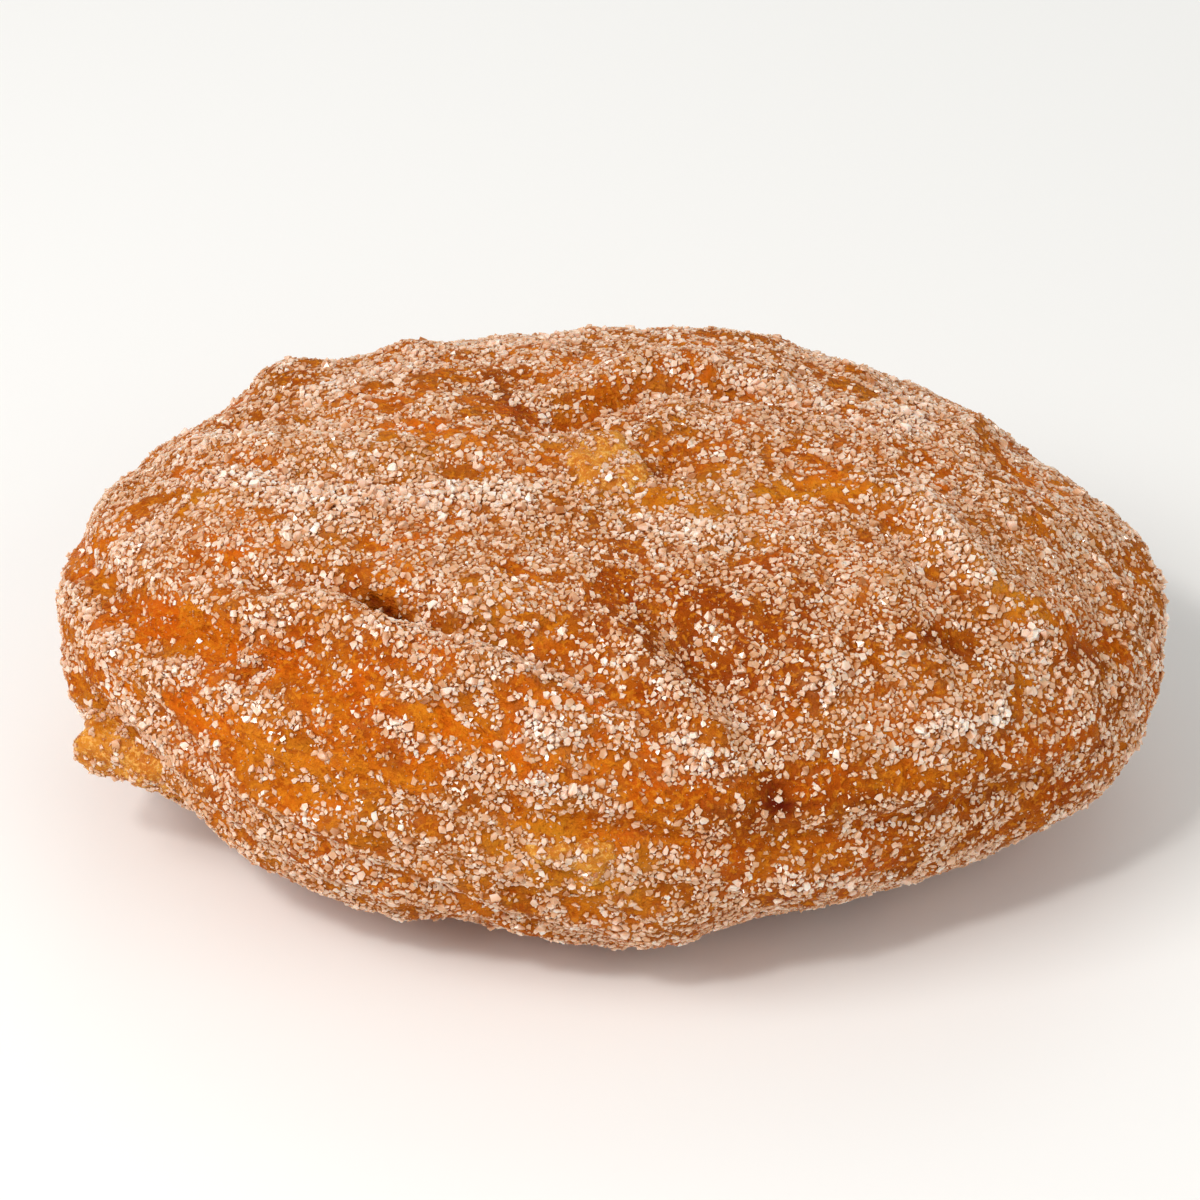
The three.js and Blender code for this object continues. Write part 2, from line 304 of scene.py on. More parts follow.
# Each fold's line, its lip's height and width, then its groove's side, depth, width and offset.
FOLDS = {
    "front lip": Fold(
        ((-38, -11.5, 28), (-31, -14.5, 29.5), (-25.5, -16.5, 31), (-18.5, -21, 31), (-9.5, -25, 30.5),
         (0.5, -29.5, 28.5)),
        2.1, 2.2, Side.LEFT, 1.5, 1.5, 3.2,
    ),
    "front slit": Fold(
        ((-22.8, -14.6, 31.9), (-21.3, -15.7, 32), (-19.6, -17.2, 32), (-18.2, -18.8, 31.7)),
        groove=2.6, groove_width=0.65,
    ),
    "lip branch": Fold(((-22, -26.5, 28.5), (-15, -25.5, 30), (-9, -23.5, 31.5)), 1.1, 1.5),
    "side fold": Fold(
        ((-22, -27, 28), (-11.5, -32, 26.5), (-4.5, -34.5, 24.5), (4, -35.5, 23.5)),
        1.3, 1.8, Side.RIGHT, 1.1, 1.4, 2.8,
    ),
    "left shoulder": Fold(
        ((-51, 3, 19), (-47, -8, 22), (-41, -15, 23.5), (-31, -22, 25.5)),
        1.1, 1.9, Side.LEFT, 1.0, 1.9, 3.4,
    ),
    "left edge groove": Fold(
        ((-49, 12, 22), (-50, 6, 22), (-46.5, -4.5, 25.5), (-41, -10, 27)), groove=1.0, groove_width=2.0
    ),
    "cheek crack": Fold(
        ((-35.5, -19, 25), (-32.5, -18, 27.5), (-28, -18, 29.5)), 0.7, 0.9, Side.RIGHT, 0.9, 0.8, 1.3
    ),
    "low cheek fold": Fold(
        ((-41, -19, 15), (-33, -25, 17.5), (-24, -31, 18.5), (-12, -35, 17)),
        1.0, 2.3, Side.LEFT, 0.8, 1.5, 3.0,
    ),
    "middle ridge": Fold(
        ((0, -20, 33), (4, -24.5, 31.5), (8, -28.5, 29.5), (11.5, -32, 26)),
        1.7, 1.9, Side.LEFT, 1.1, 2.2, 3.8,
    ),
    "right ridge": Fold(
        ((19, 1, 34), (27, -2, 33), (31, -7.5, 32), (35, -12, 30.5), (41, -14.5, 27.5)),
        1.8, 2.2, Side.RIGHT, 1.0, 2.2, 4.0,
    ),
    "back fold": Fold(
        ((-9, 11, 34), (-3.5, 14.5, 34), (3, 17.5, 34), (10, 18, 33.5), (18, 16, 33)),
        1.5, 2.4, Side.RIGHT, 1.3, 1.9, 3.8,
    ),
    "front crease": Fold(
        ((2, -35, 24), (9, -34.5, 22.5), (16, -33.5, 22), (26, -29.5, 21), (35, -25, 21), (45, -18, 20)),
        0.7, 2.2, Side.RIGHT, 0.9, 1.6, 2.8,
    ),
    "right shoulder": Fold(((20, -30, 27), (29, -26, 25.5), (38, -21.5, 24.5)), 1.0, 2.0),
    "right end fold": Fold(
        ((43, 20, 21), (50, 8, 21), (52, -6, 18), (49, -14, 14)), 1.2, 2.4, Side.LEFT, 1.2, 1.8, 3.6
    ),
    "back wall fold": Fold(
        ((-30, 30, 19), (-12, 37, 23), (6, 39, 20), (22, 34, 22), (36, 26, 18)),
        1.6, 2.5, Side.LEFT, 1.6, 1.8, 3.8,
    ),
    "back low fold": Fold(
        ((-46, 16, 11), (-33, 28, 9), (-16, 35, 10), (-2, 36, 7)), 1.2, 2.4, Side.RIGHT, 1.2, 1.8, 3.4
    ),
    "top left pleat": Fold(
        ((-38, 12, 30), (-28, 6, 33), (-18, 4, 34.5), (-8, 5, 35)), 0.8, 2.6, Side.RIGHT, 0.8, 2.0, 4.2
    ),
    "underside seam": Fold(
        ((-38, -2, 2), (-18, 6, 0), (4, -3, 0), (24, 5, 0), (38, 0, 2)), groove=3.0, groove_width=2.2
    ),
    "underside back branch": Fold(((-14, 28, 4), (-9, 17, 1), (-4, 4, 0)), groove=2.4, groove_width=2.0),
    "underside front branch": Fold(((20, -25, 4), (21, -12, 1), (15, 1, 0)), groove=2.4, groove_width=2.0),
}

# Each lump's middle, its rise and its radius.
LUMPS = {
    "left lobe": Lump((-30, -4, 32), 1.2, 13),
    "right lobe": Lump((24, -17, 31), 1.3, 12),
    "back lobe": Lump((12, 24, 31), 1, 9),
    "middle valley": Lump((4, -8, 35), -1.5, 8),
    "valley foot": Lump((7, -19.5, 33), -1.7, 6),
    "right hollow": Lump((31, -18, 29.5), -1.5, 3.2),
    "right end hollow": Lump((46, -12, 25), -1, 4),
    "back pit": Lump((-5, 9.5, 34.5), -1.4, 2.6),
    "apple pit": Lump((5.5, 2, 35), -1.3, 2.6),
    "crease pit": Lump((15.5, -33.6, 22), -1.4, 2.2),
    "front heap": Lump((-5, -30, 29), 1, 3),
    "pale bump": Lump((-11, -17.5, 33), 1.2, 3.4),
    "back left knob": Lump((-31, 25, 27.5), 1.9, 4.2),
    "knob hollow": Lump((-35.5, 14.5, 30), -1.6, 3),
    "far knob": Lump((-20, 28, 29.5), 1.5, 3.4),
    "far dip": Lump((29, 22, 28.5), -1.3, 3.5),
    "far bump": Lump((35, 17.5, 28.5), 0.8, 4),
    "front skirt": Lump((2, -35, 8), 1, 8),
    "skirt notch": Lump((15, -33, 5), -2.2, 5),
    "left foot": Lump((-34, -23, 10), 0.6, 7),
}

# Where the crust shows through, with little sugar.
BARE = {
    "slit": Streak(((-22.7, -14.9, 31), (-20.5, -16.4, 30.5), (-18, -19, 31)), 1.1, 1.2),
    "crease pit": Streak(((13.5, -33.5, 24), (16.5, -33.6, 22)), 1.4, 0.9),
    "left strip": Streak(
        ((-50.5, 8, 20.3), (-48.9, 1.3, 22.6), (-48.2, -1.4, 23.6), (-47.3, -2.8, 24)), 1.5, 1.3
    ),
    "left band": Streak(
        ((-45.2, -8.2, 24.2), (-41.2, -11.2, 26), (-37.4, -13.6, 26.9), (-34.6, -15.2, 27)), 2.5, 1.1
    ),
    "cheek": Streak(
        ((-30.5, -19.4, 28.6), (-27, -20, 29.6), (-23, -22, 29.5), (-21, -24, 29.3)), 2.2, 0.9
    ),
    "cheek foot": Streak(((-26, -23.5, 27.5), (-23, -25, 28)), 2, 0.35),
    "low band": Streak(((-40, -20, 23.5), (-34, -23.5, 23), (-28.5, -29, 23), (-25, -30.5, 22.5)), 2.2),
    "belly": Streak(
        ((-23.5, -25, 28), (-22.5, -29.5, 26.5), (-20, -31.5, 25), (-16.5, -32, 25.5)), 2.2, 0.9
    ),
    "under branch": Streak(
        ((-20, -26.6, 29.4), (-17, -28.2, 28.5), (-13.2, -29.1, 28), (-11.5, -30.2, 27.5)), 0.85
    ),
    "under lip": Streak(((-1, -28, 30), (-5, -28, 31), (-9, -28, 29.5), (-8, -32.3, 26.3)), 1.0, 0.9),
    "top left": Streak(((-19.5, 7.5, 34), (-12, 5.5, 34.5)), 1.5, 0.75),
    "behind apple": Streak(((-12.5, 14, 34), (-7.5, 9.5, 35)), 1.5, 0.75),
    "round apple": Streak(((-6, 8.5, 33.5), (-4, 10.5, 34.5), (0, 12, 34.5)), 1.6, 0.75),
    "back fold": Streak(((-2, 13, 35.5), (2.5, 15, 35), (8.5, 16, 34.5)), 0.9, 0.3),
    "beside apple": Streak(((2.5, 1.5, 35.5), (10, 2, 34.5)), 1.1, 0.6),
    "right back": Streak(RIGHT_BACK, 1.6, 1.1),
    "right hollow": Streak(((26, -19.5, 31.5), (31.5, -18, 29)), 1.4, 0.75),
    "right end": Streak(((41, -14.5, 27), (43.6, -12.6, 23.9), (47, -10.4, 22.5)), 1.6),
    "front right": Streak(
        ((3, -34.3, 25), (9.5, -34, 25), (16.5, -33, 24), (24, -31, 24), (31, -29.5, 21.5)), 2, 0.95
    ),
    "front low right": Streak(
        ((11, -34.6, 18.5), (15, -33, 18.5), (22, -33, 15), (26, -31.5, 13.5)), 1.9, 0.8
    ),
    "front middle": Streak(((-8, -34.5, 23), (-1, -35.5, 21.5), (7, -36, 23)), 1.3, 0.6),
    "right low": Streak(((34.5, -27.5, 22), (40.5, -23.5, 15), (44.5, -19.5, 15.5)), 1.8, 0.7),
    "back wall": Streak(((-26, 36, 16), (-14, 39, 18), (0, 41, 16), (14, 39, 15)), 3.0, 0.9),
    "back left": Streak(((-48, 16, 16), (-42, 25, 13), (-34, 32, 12)), 2.6, 0.9),
    "back right": Streak(((26, 34, 20), (36, 28, 16), (44, 20, 14)), 2.8, 0.9),
    "right far end": Streak(((50, 10, 15), (52, 0, 13), (50, -9, 11)), 2.2, 0.8),
    "far shoulder": Streak(((-8, 34, 28), (4, 35, 28), (14, 32, 28)), 1.8, 0.7),
    "left far shoulder": Streak(((-40, 19, 26), (-33, 22, 27)), 1.8, 0.7),
    "left top": Streak(((-41.4, 7.4, 29), (-39.5, 6.5, 30.2), (-37.6, 4.8, 31.7)), 1.5, 0.9),
    "over slit": Streak(((-23, -13.4, 32), (-18.5, -15.4, 32)), 1, 0.25),
    "right of apple": Streak(((3.5, 3.5, 34.5), (10.5, 5, 35)), 1.3, 0.6),
    "valley spot": Streak(((12.1, -11.9, 33.9), (15.5, -12.4, 33.8)), 1.6, 0.6),
    "valley head": Streak(((-2.5, -16, 33.5), (0, -16.5, 33)), 1.4, 0.4),
    "left of ridge": Streak(((-9.5, -22.5, 32.5), (-6, -21, 31.5)), 1.3, 0.6),
    "right low wall": Streak(((38, -23.3, 20.5), (44, -19.3, 19.5)), 1.6, 0.9),
    "right foot": Streak(((35.5, -24, 11.5), (39, -23, 12.5)), 1.5, 0.6),
    "front low": Streak(((-6.5, -34.5, 21), (2.5, -34.5, 20.5), (5.5, -35, 20)), 1.4, 0.5),
    "front right climb": Streak(((31, -27.2, 19.5), (31.5, -27, 22)), 1.1, 0.7),
    "valley low": Streak(((0, -8, 33), (4, -12, 33)), 2, 0.3),
    "middle right": Streak(((11.4, -23, 30.1), (15.1, -24.6, 29.8), (16.2, -21.5, 31)), 1.5, 0.45),
    "left low": Streak(((-29, -29, 20), (-25, -30.5, 15)), 1.5, 0.5),
    "left end": Streak(((-45.6, -12.7, 19.2), (-42.9, -14.2, 20.4)), 1.3, 0.9),
    "front": Streak(((-10.7, -32.2, 25.4), (-5.8, -32, 26.4), (-0.5, -32, 25.6)), 1.0, 0.7),
    "right rim": Streak(((39.8, 8.2, 27.9), (44.2, 7.9, 25.8)), 1.6, 0.6),
    "front right low": Streak(((22.6, -30.6, 18.3), (24.5, -29.7, 18.4)), 1.2, 0.8),
    "right climb": Streak(((31, -27.2, 18.2), (32, -26.6, 17.4)), 1.2, 0.9),
    "lip foot": Streak(((-10, -27, 31.3), (-7.8, -26.9, 30.6)), 0.9, 0.7),
    "valley middle": Streak(((3.2, -14.4, 32.6), (6.9, -16.8, 32.6)), 1.3, 0.5),
    "ridge side": Streak(((1, -25, 31), (3.4, -27.3, 30.2)), 1.1, 0.7),
    "front foot": Streak(((6.4, -34.9, 20.3), (7, -35.1, 18.7)), 1.2, 0.7),
    "lip middle": Streak(((-19, -23, 32), (-16.5, -23.5, 32.3)), 0.8, 0.5),
    "ridge end": Streak(((2.2, -30.1, 28.1), (3.4, -30.8, 27.5)), 0.9, 0.6),
    "valley side": Streak(((0, -19.8, 32.8), (2.6, -23, 32)), 1.2, 0.6),
}

# Where sugar is heaped.
DRIFTS = {
    "top left": Streak(((-36.5, 4.5, 30.5), (-28.5, -2, 33), (-19.5, -3, 34), (-9, -4, 35)), 2.4, 0.75),
    "top left low": Streak(((-28.5, -7.5, 33), (-25.5, -6.5, 33.5)), 1.4, 0.5),
    "rim": Streak(((-28.5, 17, 31.5), (-17.5, 23, 31.5), (-5, 27, 31)), 1.8, 0.5),
    "right rim": Streak(((10.5, 15.5, 33.5), (18, 14, 33), (24.5, 11, 33)), 1.8, 0.45),
    "far right rim": Streak(((27.5, 10, 32.5), (29.5, 21, 28)), 1.6, 0.7),
    "right wall": Streak(((38.5, -16, 27.5), (40.5, -18.5, 24)), 1.2, 0.3),
    "left end": Streak(((-45.5, -2.5, 27), (-42.5, -2, 28.5)), 1.6, 0.5),
    "far left": Streak(((-39, 13, 28), (-35.5, 10.5, 30.5)), 2, 0.3),
    "front lip": Streak(
        ((-21.5, -20.3, 33.4), (-17.2, -21.6, 32.8), (-12.6, -22.2, 32.8), (-7.6, -25.2, 31.9),
         (-3.7, -25.7, 30.3), (-0.2, -29.7, 28.4)),
        0.7, 0.85,
    ),
    "branch": Streak(((-18.2, -26.9, 29.9), (-13, -26, 30.7), (-9.3, -25.7, 32.5)), 0.7, 0.7),
    "heap": Streak(((-7.3, -28.3, 29.3), (-4.2, -30.2, 28.2)), 1.6),
    "low heap": Streak(((-6, -34.5, 26), (-3, -34.5, 26)), 1.4),
    "valley": Streak(((2.5, -6, 33.5), (6.5, -7.5, 33.5), (10.5, -9, 34)), 1.9, 0.5),
    "right ridge": Streak(RIGHT_RIDGE, 0.9, 0.9),
    "middle ridge": Streak(((5.2, -30.2, 28.2), (7.9, -31.3, 26.8), (10.4, -31, 25.3)), 1.2),
    "right shoulder": Streak(((29, -27.1, 25.6), (31, -25.8, 25.5), (35, -23.2, 24.8)), 1.4),
    "right crest": Streak(((37.2, -16.3, 28.3), (39.6, -16.4, 27.6)), 1.2, 0.8),
    "far right": Streak(((25.5, 14, 32), (30, 12.5, 31)), 1.8, 0.4),
    "left shoulder": Streak(((-40.4, -16.3, 24.4), (-35.7, -19.8, 25), (-32.4, -22.3, 25.3)), 1.3, 0.85),
    "left foot": Streak(((-46, -14.5, 18), (-42, -18.5, 16)), 1.6, 0.5),
    "front foot": Streak(((15, -35.5, 15.5), (24, -31.5, 11.5)), 1.3, 0.7),
    "back crest": Streak(((-30, 33, 18), (-12, 38, 23), (6, 40, 20), (22, 36, 22)), 1.3, 0.7),
    "back foot": Streak(((-46, 17, 10), (-33, 29, 8), (-16, 36, 9)), 1.3, 0.6),
    "right end": Streak(((44, 20, 20), (50, 8, 20), (52, -5, 18)), 1.3, 0.6),
    "front": Streak(((-1, -34, 24), (2.6, -34.7, 20)), 1.3, 0.5),
    "left edge": Streak(
        ((-50.8, 0.5, 21.5), (-50, -2.4, 22.5), (-47.4, -7.5, 23.8), (-45, -12.1, 24.2)), 1.0, 0.8
    ),
    "low line": Streak(
        ((-20.5, -26.6, 28.5), (-18, -28.5, 27.2), (-15.7, -30.2, 26.6), (-11.4, -31, 26.2),
         (-7.2, -33.5, 25.8), (0.2, -33.8, 23.8)),
        0.7, 0.85,
    ),
    "patch end": Streak(((-31.7, -17.2, 28.6), (-30.6, -16.6, 30.2)), 1.6),
    "middle spot": Streak(((16.8, -24.4, 29.7), (19, -25.3, 29.4)), 1.2, 0.8),
    "cheek": Streak(((-24.7, -21.8, 29.3), (-23, -22.7, 29.6)), 1, 0.8),
    "cheek foot": Streak(((-22, -27.4, 27), (-20.4, -27.3, 27.6)), 1, 0.7),
    "bump": Streak(((-12.4, -18.2, 33.3), (-10.8, -19, 33)), 0.9, 0.6),
    "ridge line": Streak(((1.9, -23.8, 31.8), (4.1, -25.8, 31.3), (6.6, -27.6, 30.6)), 0.5, 0.4),
}

# Where sugar lies closer than round it, in one layer.
DENSE = {
    "above slit": Streak(((-27.5, -6, 33.5), (-21, -8.5, 33.5), (-23.5, -12.5, 32)), 3.0, 0.45),
    "top middle": Streak(((-15.5, -10, 34), (-8, -11, 34)), 2.5, 0.45),
    "top left": Streak(((-31.5, 10.4, 32.2), (-27.7, 4.5, 33.5)), 2.4, 0.8),
    "right top": Streak(
        ((32.3, -0.5, 32.7), (36.6, -3.7, 30.5), (41, -4.8, 28.4), (45.2, -3.8, 25.2)), 1.8, 0.8
    ),
    "right middle": Streak(((17, -24.3, 30), (24, -23.4, 29)), 1.7, 0.5),
    "left wall": Streak(((-45, -14, 19.5), (-42, -17, 18), (-39.6, -20, 16.4)), 2.5, 0.8),
    "far": Streak(((8.1, 16.3, 34.5), (9, 10.6, 34.1), (8.6, 4.1, 34), (8.2, 1.5, 34.7)), 1.2, 0.6),
    "middle upper": Streak(((10, -16.6, 33), (13, -18.5, 32.5)), 1.5, 0.4),
    "middle left": Streak(((7.3, -15.7, 32.7), (6.5, -19.1, 30.4), (8.2, -23.2, 29.1)), 1.4, 0.3),
    "middle low": Streak(((7.8, -31.6, 26.1), (8.2, -34.2, 23.3)), 1.3, 0.6),
    "front foot": Streak(((8, -35, 19.2), (10, -34.7, 18.3)), 1.4, 0.7),
    "right wall": Streak(((20.7, -25.9, 28.3), (24.3, -28.2, 25.5)), 1.6, 0.5),
    "right back": Streak(((20.8, 3.8, 34), (23.5, 2.5, 34)), 1.5, 0.5),
    "ridge low": Streak(((25.4, -17, 31.4), (30.1, -12.9, 30.6), (32.5, -14.6, 29.6)), 1.3, 0.6),
    "right lobe": Streak(((21.3, -10.8, 34), (22.5, -13.8, 33.2)), 1.4, 0.7),
    "right foot": Streak(((34.5, -25.3, 16.8), (38, -23.3, 15.7)), 1.3, 0.9),
    "left shoulder": Streak(((-45, -5, 25.5), (-42.4, -7.2, 26.5), (-38.1, -10.4, 29.2)), 1.5, 0.8),
    "left low": Streak(((-48.5, -5.3, 22.5), (-46.1, -6.7, 24.1)), 1.4, 0.8),
    "valley head": Streak(((-3.8, -15.7, 34.2), (-1.8, -20.2, 32.3), (-0.5, -23.7, 31.2)), 1.3, 0.3),
    "far left": Streak(((-19.6, 19.7, 31.9), (-16.6, 20, 32.2)), 1.4, 0.6),
    "right end": Streak(((43.8, -16, 22.8), (46.3, -12.4, 21.3)), 1.2, 0.5),
    "left rim": Streak(((-45.8, 6.7, 26.2), (-43.1, 7, 26.9)), 1.4, 0.8),
    "over slit": Streak(((-23.1, -13.7, 32.1), (-22.3, -12.9, 31.9)), 1, 0.7),
    "right heap": Streak(((26.4, -27.9, 26.5), (26, -28.1, 25.2)), 1, 0.8),
    "right bank": Streak(
        ((28.5, -5.8, 33.6), (33.8, -9, 32.7), (36.9, -8.1, 30.5), (41.3, -8.3, 28.7), (45.2, -5, 25.9)),
        1.4, 0.6,
    ),
    "top spot": Streak(((-12.1, -9, 34.2), (-10.9, -12.8, 34.5)), 1.2, 0.6),
    "below apple": Streak(((4.7, -0.8, 35.1), (3.3, -2.1, 34.7)), 1.2, 0.6),
    "right foot spot": Streak(((28.6, -28.3, 17.7), (29.9, -27.9, 17.6)), 1.2, 0.7),
    "front": Streak(((-7.5, -35, 21.5), (-1, -35.5, 20.5), (1.5, -35.5, 20)), 1.2, 0.5),
    "right cheek": Streak(((32.4, -22, 27.2), (35.7, -20.7, 25.7)), 1.3, 0.7),
    "right hollow": Streak(((22.4, -19.8, 30.5), (24.8, -19.4, 31)), 1.3, 0.6),
    "left bump": Streak(((-37.3, -1.6, 31.1), (-35.8, -2.8, 31.8)), 1.4, 0.7),
    "left top": Streak(((-42.8, -4.8, 29.1), (-39.3, -5.7, 29.6)), 1.6, 0.7),
    "far bump": Streak(((-34.5, 6.7, 32.7), (-31.8, 5.7, 32.5)), 1.4, 0.6),
    "branch": Streak(((-15, -25.2, 31.5), (-13.5, -25, 31.8)), 0.9, 0.6),
}

# Painted shade: creases and pits darkened to red-brown, where shade falls in them.
CREASE_SHADE = {
    "slit": Streak(((-22.5, -15, 31), (-20.5, -16.4, 30.5), (-18.4, -18.6, 31)), 0.55, 1.0),
    "crease pit": Streak(((14.5, -33, 24.5), (15.5, -33.6, 22)), 1.1, 0.85),
    "crease line": Streak(((8, -34.5, 23), (15, -33.5, 22.5), (24, -30.5, 21.5)), 0.8, 0.35),
    "right hollow": Streak(((28, -18.5, 30), (32, -18, 29)), 1.1, 0.5),
    "right end": Streak(((42, -15, 26), (46, -13, 24)), 1.0, 0.4),
    "behind apple": Streak(((-11.5, 18, 33), (-8, 10, 34.5)), 0.9, 0.45),
    "beside apple": Streak(((2.5, 1, 35.5), (4.5, 1, 35)), 1.0, 0.6),
    "knob hollow": Streak(((-36, 13, 30), (-34.5, 15, 30)), 0.9, 0.5),
}

# Where the crust is darker brown than round it: partly browner crust, partly painted shade in hollows,
# under the lip and on the low walls.
BROWN_AND_SHADE = {
    "middle": Streak(((0, -17, 33), (8, -20, 31), (14, -23, 31), (21, -18, 31.5)), 6.0, 0.9),
    "front right": Streak(((8, -34, 24), (22, -32, 22), (36, -26, 18), (44, -19, 17)), 5.5, 0.65),
    "right foot": Streak(((10, -35, 12), (26, -31, 11), (40, -22, 12)), 5.0, 0.5),
    "right hollow": Streak(((28, -19, 30), (32, -17.5, 29)), 3.0, 0.6),
    "right end": Streak(((41, -15.5, 27), (47.5, -12, 22)), 3.0, 0.5),
    "behind apple": Streak(((-12, 17, 33), (-6, 10, 34), (0, 12, 34.5)), 3.0, 0.6),
    "beside apple": Streak(((3.5, 2, 34.5), (8, 3, 35)), 2.4, 0.6),
    "slit": Streak(((-22.5, -15, 32), (-17, -19.5, 31)), 1.6, 0.6),
    "knob": Streak(((-36, 13, 30), (-33, 20, 28)), 3.0, 0.5),
    "back": Streak(((-28, 34, 12), (0, 40, 12), (30, 33, 12), (48, 12, 12)), 6.0, 0.6),
    "valley": Streak(((0, -8, 33), (4, -12, 33), (8, -16, 33)), 4.0, 0.6),
    "belly": Streak(((-26, -23, 28), (-20, -28, 27)), 3.0, 0.35),
    "under lip": Streak(((-32.5, -16.8, 29.5), (-25, -20.3, 31), (-18.7, -23.8, 31)), 1.2, 0.5),
    "ridge foot": Streak(((1.5, -19.5, 32.5), (5.5, -23.5, 31)), 2.5, 0.5),
    "right valley": Streak(((12, -12, 33.5), (16, -15.5, 33)), 3.0, 0.7),
    "middle low": Streak(((12, -22.7, 30.6), (15.2, -24.7, 29.6), (19, -18.9, 32)), 3, 0.9),
    "ridge side": Streak(((2.5, -25.5, 30), (7.5, -29, 28)), 1.8, 0.5),
    "front crest": Streak(((11, -30.2, 26.2), (13.4, -30.2, 25.5)), 1.8, 0.6),
}

# Where the crust is paler and yellower than round it.
GOLD = {
    "apple top": Streak(((-3, 5.5, 35), (2, -1.5, 35)), 3.2, 0.9),
    "beside apple": Streak(((8, -1.5, 34), (12.5, -1, 34.5)), 1.6, 0.8),
    "valley": Streak(((7, -3, 34), (12, -7.5, 34)), 3.0, 0.5),
    "ridge": Streak(RIGHT_RIDGE, 1.6, 0.9),
    "ridge foot": Streak(((37, -13.5, 30.5), (39, -15.5, 27.5)), 1.6, 0.9),
    "left bump": Streak(((-38, -0.5, 31.5), (-34.5, -1, 32.5)), 2.4, 0.7),
    "pale bump": Streak(((-11.5, -18, 33.5), (-10, -20, 32)), 2.2, 0.8),
    "top left": Streak(((-29, 6.5, 34), (-19.5, 1.5, 34)), 4.5, 0.5),
    "front": Streak(((-8, -35, 18.5), (0.5, -36, 16)), 3.2, 0.9),
    "front middle": Streak(((-6, -34, 22), (-4, -34.5, 20.5)), 1.6, 0.6),
    "low left": Streak(((-31, -25, 23), (-25, -29, 21.5)), 2.6, 0.6),
    "nub": Streak(((-46, -12, 14), (-42, -15, 11)), 4.0, 0.8),
    "back": Streak(((-20, 36, 20), (-12, 38, 17)), 3.0, 0.7),
    "right back": Streak(RIGHT_BACK, 1.6, 0.8),
}


@dataclass(frozen=True)
class CrustFinish:
    """Fried crust: amber where bare, gold-brown and painted shade under the sugar, painted red-brown shade
    in creases.
    """

    amber: Colour = srgb(210, 96, 4)
    gold: Colour = srgb(212, 118, 16)
    pale: Colour = srgb(228, 138, 28)
    # Toast: the crust's deeper tone under the sugar together with painted shade between the grains.
    toast_and_grain_shade: Colour = srgb(156, 86, 18)
    # Brown: browner crust, and painted shade in hollows, under the lip and on the low walls.
    brown_and_shade: Colour = srgb(138, 50, 0)
    yellow: Colour = srgb(206, 132, 28)
    # Painted shade of creases and pits.
    crease: Colour = srgb(100, 20, 2)
    dust: Colour = srgb(198, 132, 78)
    wrinkle: Colour = srgb(160, 66, 2)
    bare_roughness: float = 0.4
    sugared_roughness: float = 0.6
    specular: float = 0.05
    bump_strength: float = 1.0
    bump_depth: float = 0.5

    def material(self) -> bpy.types.Material:
        """Makes the crust's material.

        Returns:
            A material that reads the skin's own attributes: crease, bare, toast, brown, gold and dust.
            Crease carries painted shade, and toast and brown carry it in part.
        """
        shader = Shader("crust")
        patches = shader.noise(size=5, detail=3, roughness=0.55)
        mottle = shader.noise(size=1.6, detail=4, roughness=0.6)
        fine = shader.noise(size=0.45, detail=2, roughness=0.5)
        fibre = shader.noise(size=0.8, detail=4, roughness=0.65, squeeze=(0.55, 1.0, 1.0), turn=-0.6)
        crumb = shader.noise(size=0.6, detail=3, roughness=0.6)
        uneven = shader.ramp(mottle, low=0.25, high=0.75, start=0.55)
        colour = shader.blend(shader.ramp(patches, low=0.4, high=0.66), self.amber, self.gold)
        # Toast and brown lay painted shade as well as the crust's own browning.
        for name, over in (("toast_and_grain_shade", self.toast_and_grain_shade), ("gold", self.yellow), ("brown_and_shade", self.brown_and_shade)):
            colour = shader.blend(shader.math("MULTIPLY", shader.attribute(name), uneven), colour, over)
        fibres = shader.ramp(fibre, low=0.49, high=0.64, end=0.75)
        colour = shader.blend(fibres, colour, self.wrinkle)
        colour = shader.blend(shader.ramp(crumb, low=0.5, high=0.64, end=0.6), colour, self.pale)
        dust = shader.math("MULTIPLY", shader.attribute("dust"), shader.ramp(fine, low=0.3, high=0.7))
        colour = shader.blend(dust, colour, self.dust)
        # Painted shade: creases and pits darkened to red-brown.
        colour = shader.blend(shader.attribute("crease"), colour, self.crease)
        shader.feed("Base Color", colour)
        bare = shader.attribute("bare")
        roughness = shader.ramp(bare, low=0, high=1, start=self.sugared_roughness, end=self.bare_roughness)
        shader.feed("Roughness", roughness)
        shader.set("Specular IOR Level", self.specular)
        height = shader.math("SUBTRACT", shader.math("ADD", mottle, crumb), fibre)
        shader.bump(height, self.bump_strength, self.bump_depth)
        return shader.material


@dataclass(frozen=True)
class AppleFinish:
    """Cooked apple: golden, moist and slightly see-through, with a fine grain."""

    flesh: Colour = srgb(220, 140, 34)
    deep: Colour = srgb(192, 106, 10)
    pale: Colour = srgb(240, 174, 86)
    moist: float = 0.28
    dry: float = 0.5
    scatter: float = 0.35
    scatter_colour: Point = (1.0, 0.55, 0.18)
    scatter_depth: float = 2.5
    specular: float = 0.2
    bump_strength: float = 0.7
    bump_depth: float = 0.4

    def material(self) -> bpy.types.Material:
        """Makes the apple's material.

        Returns:
            A material that needs no attribute.
        """
        shader = Shader("apple")
        broad = shader.noise(size=2.6, detail=3, roughness=0.6)
        grain = shader.noise(size=0.45, detail=3, roughness=0.65)
        colour = shader.blend(shader.ramp(broad, low=0.35, high=0.7), self.deep, self.flesh)
        colour = shader.blend(shader.ramp(grain, low=0.48, high=0.64), colour, self.pale)
        shader.feed("Base Color", colour)
        shader.feed("Roughness", shader.ramp(grain, low=0.2, high=0.8, start=self.moist, end=self.dry))
        shader.scatter(self.scatter, self.scatter_colour, self.scatter_depth)
        shader.set("Specular IOR Level", self.specular)
        shader.bump(grain, self.bump_strength, self.bump_depth)
        return shader.material


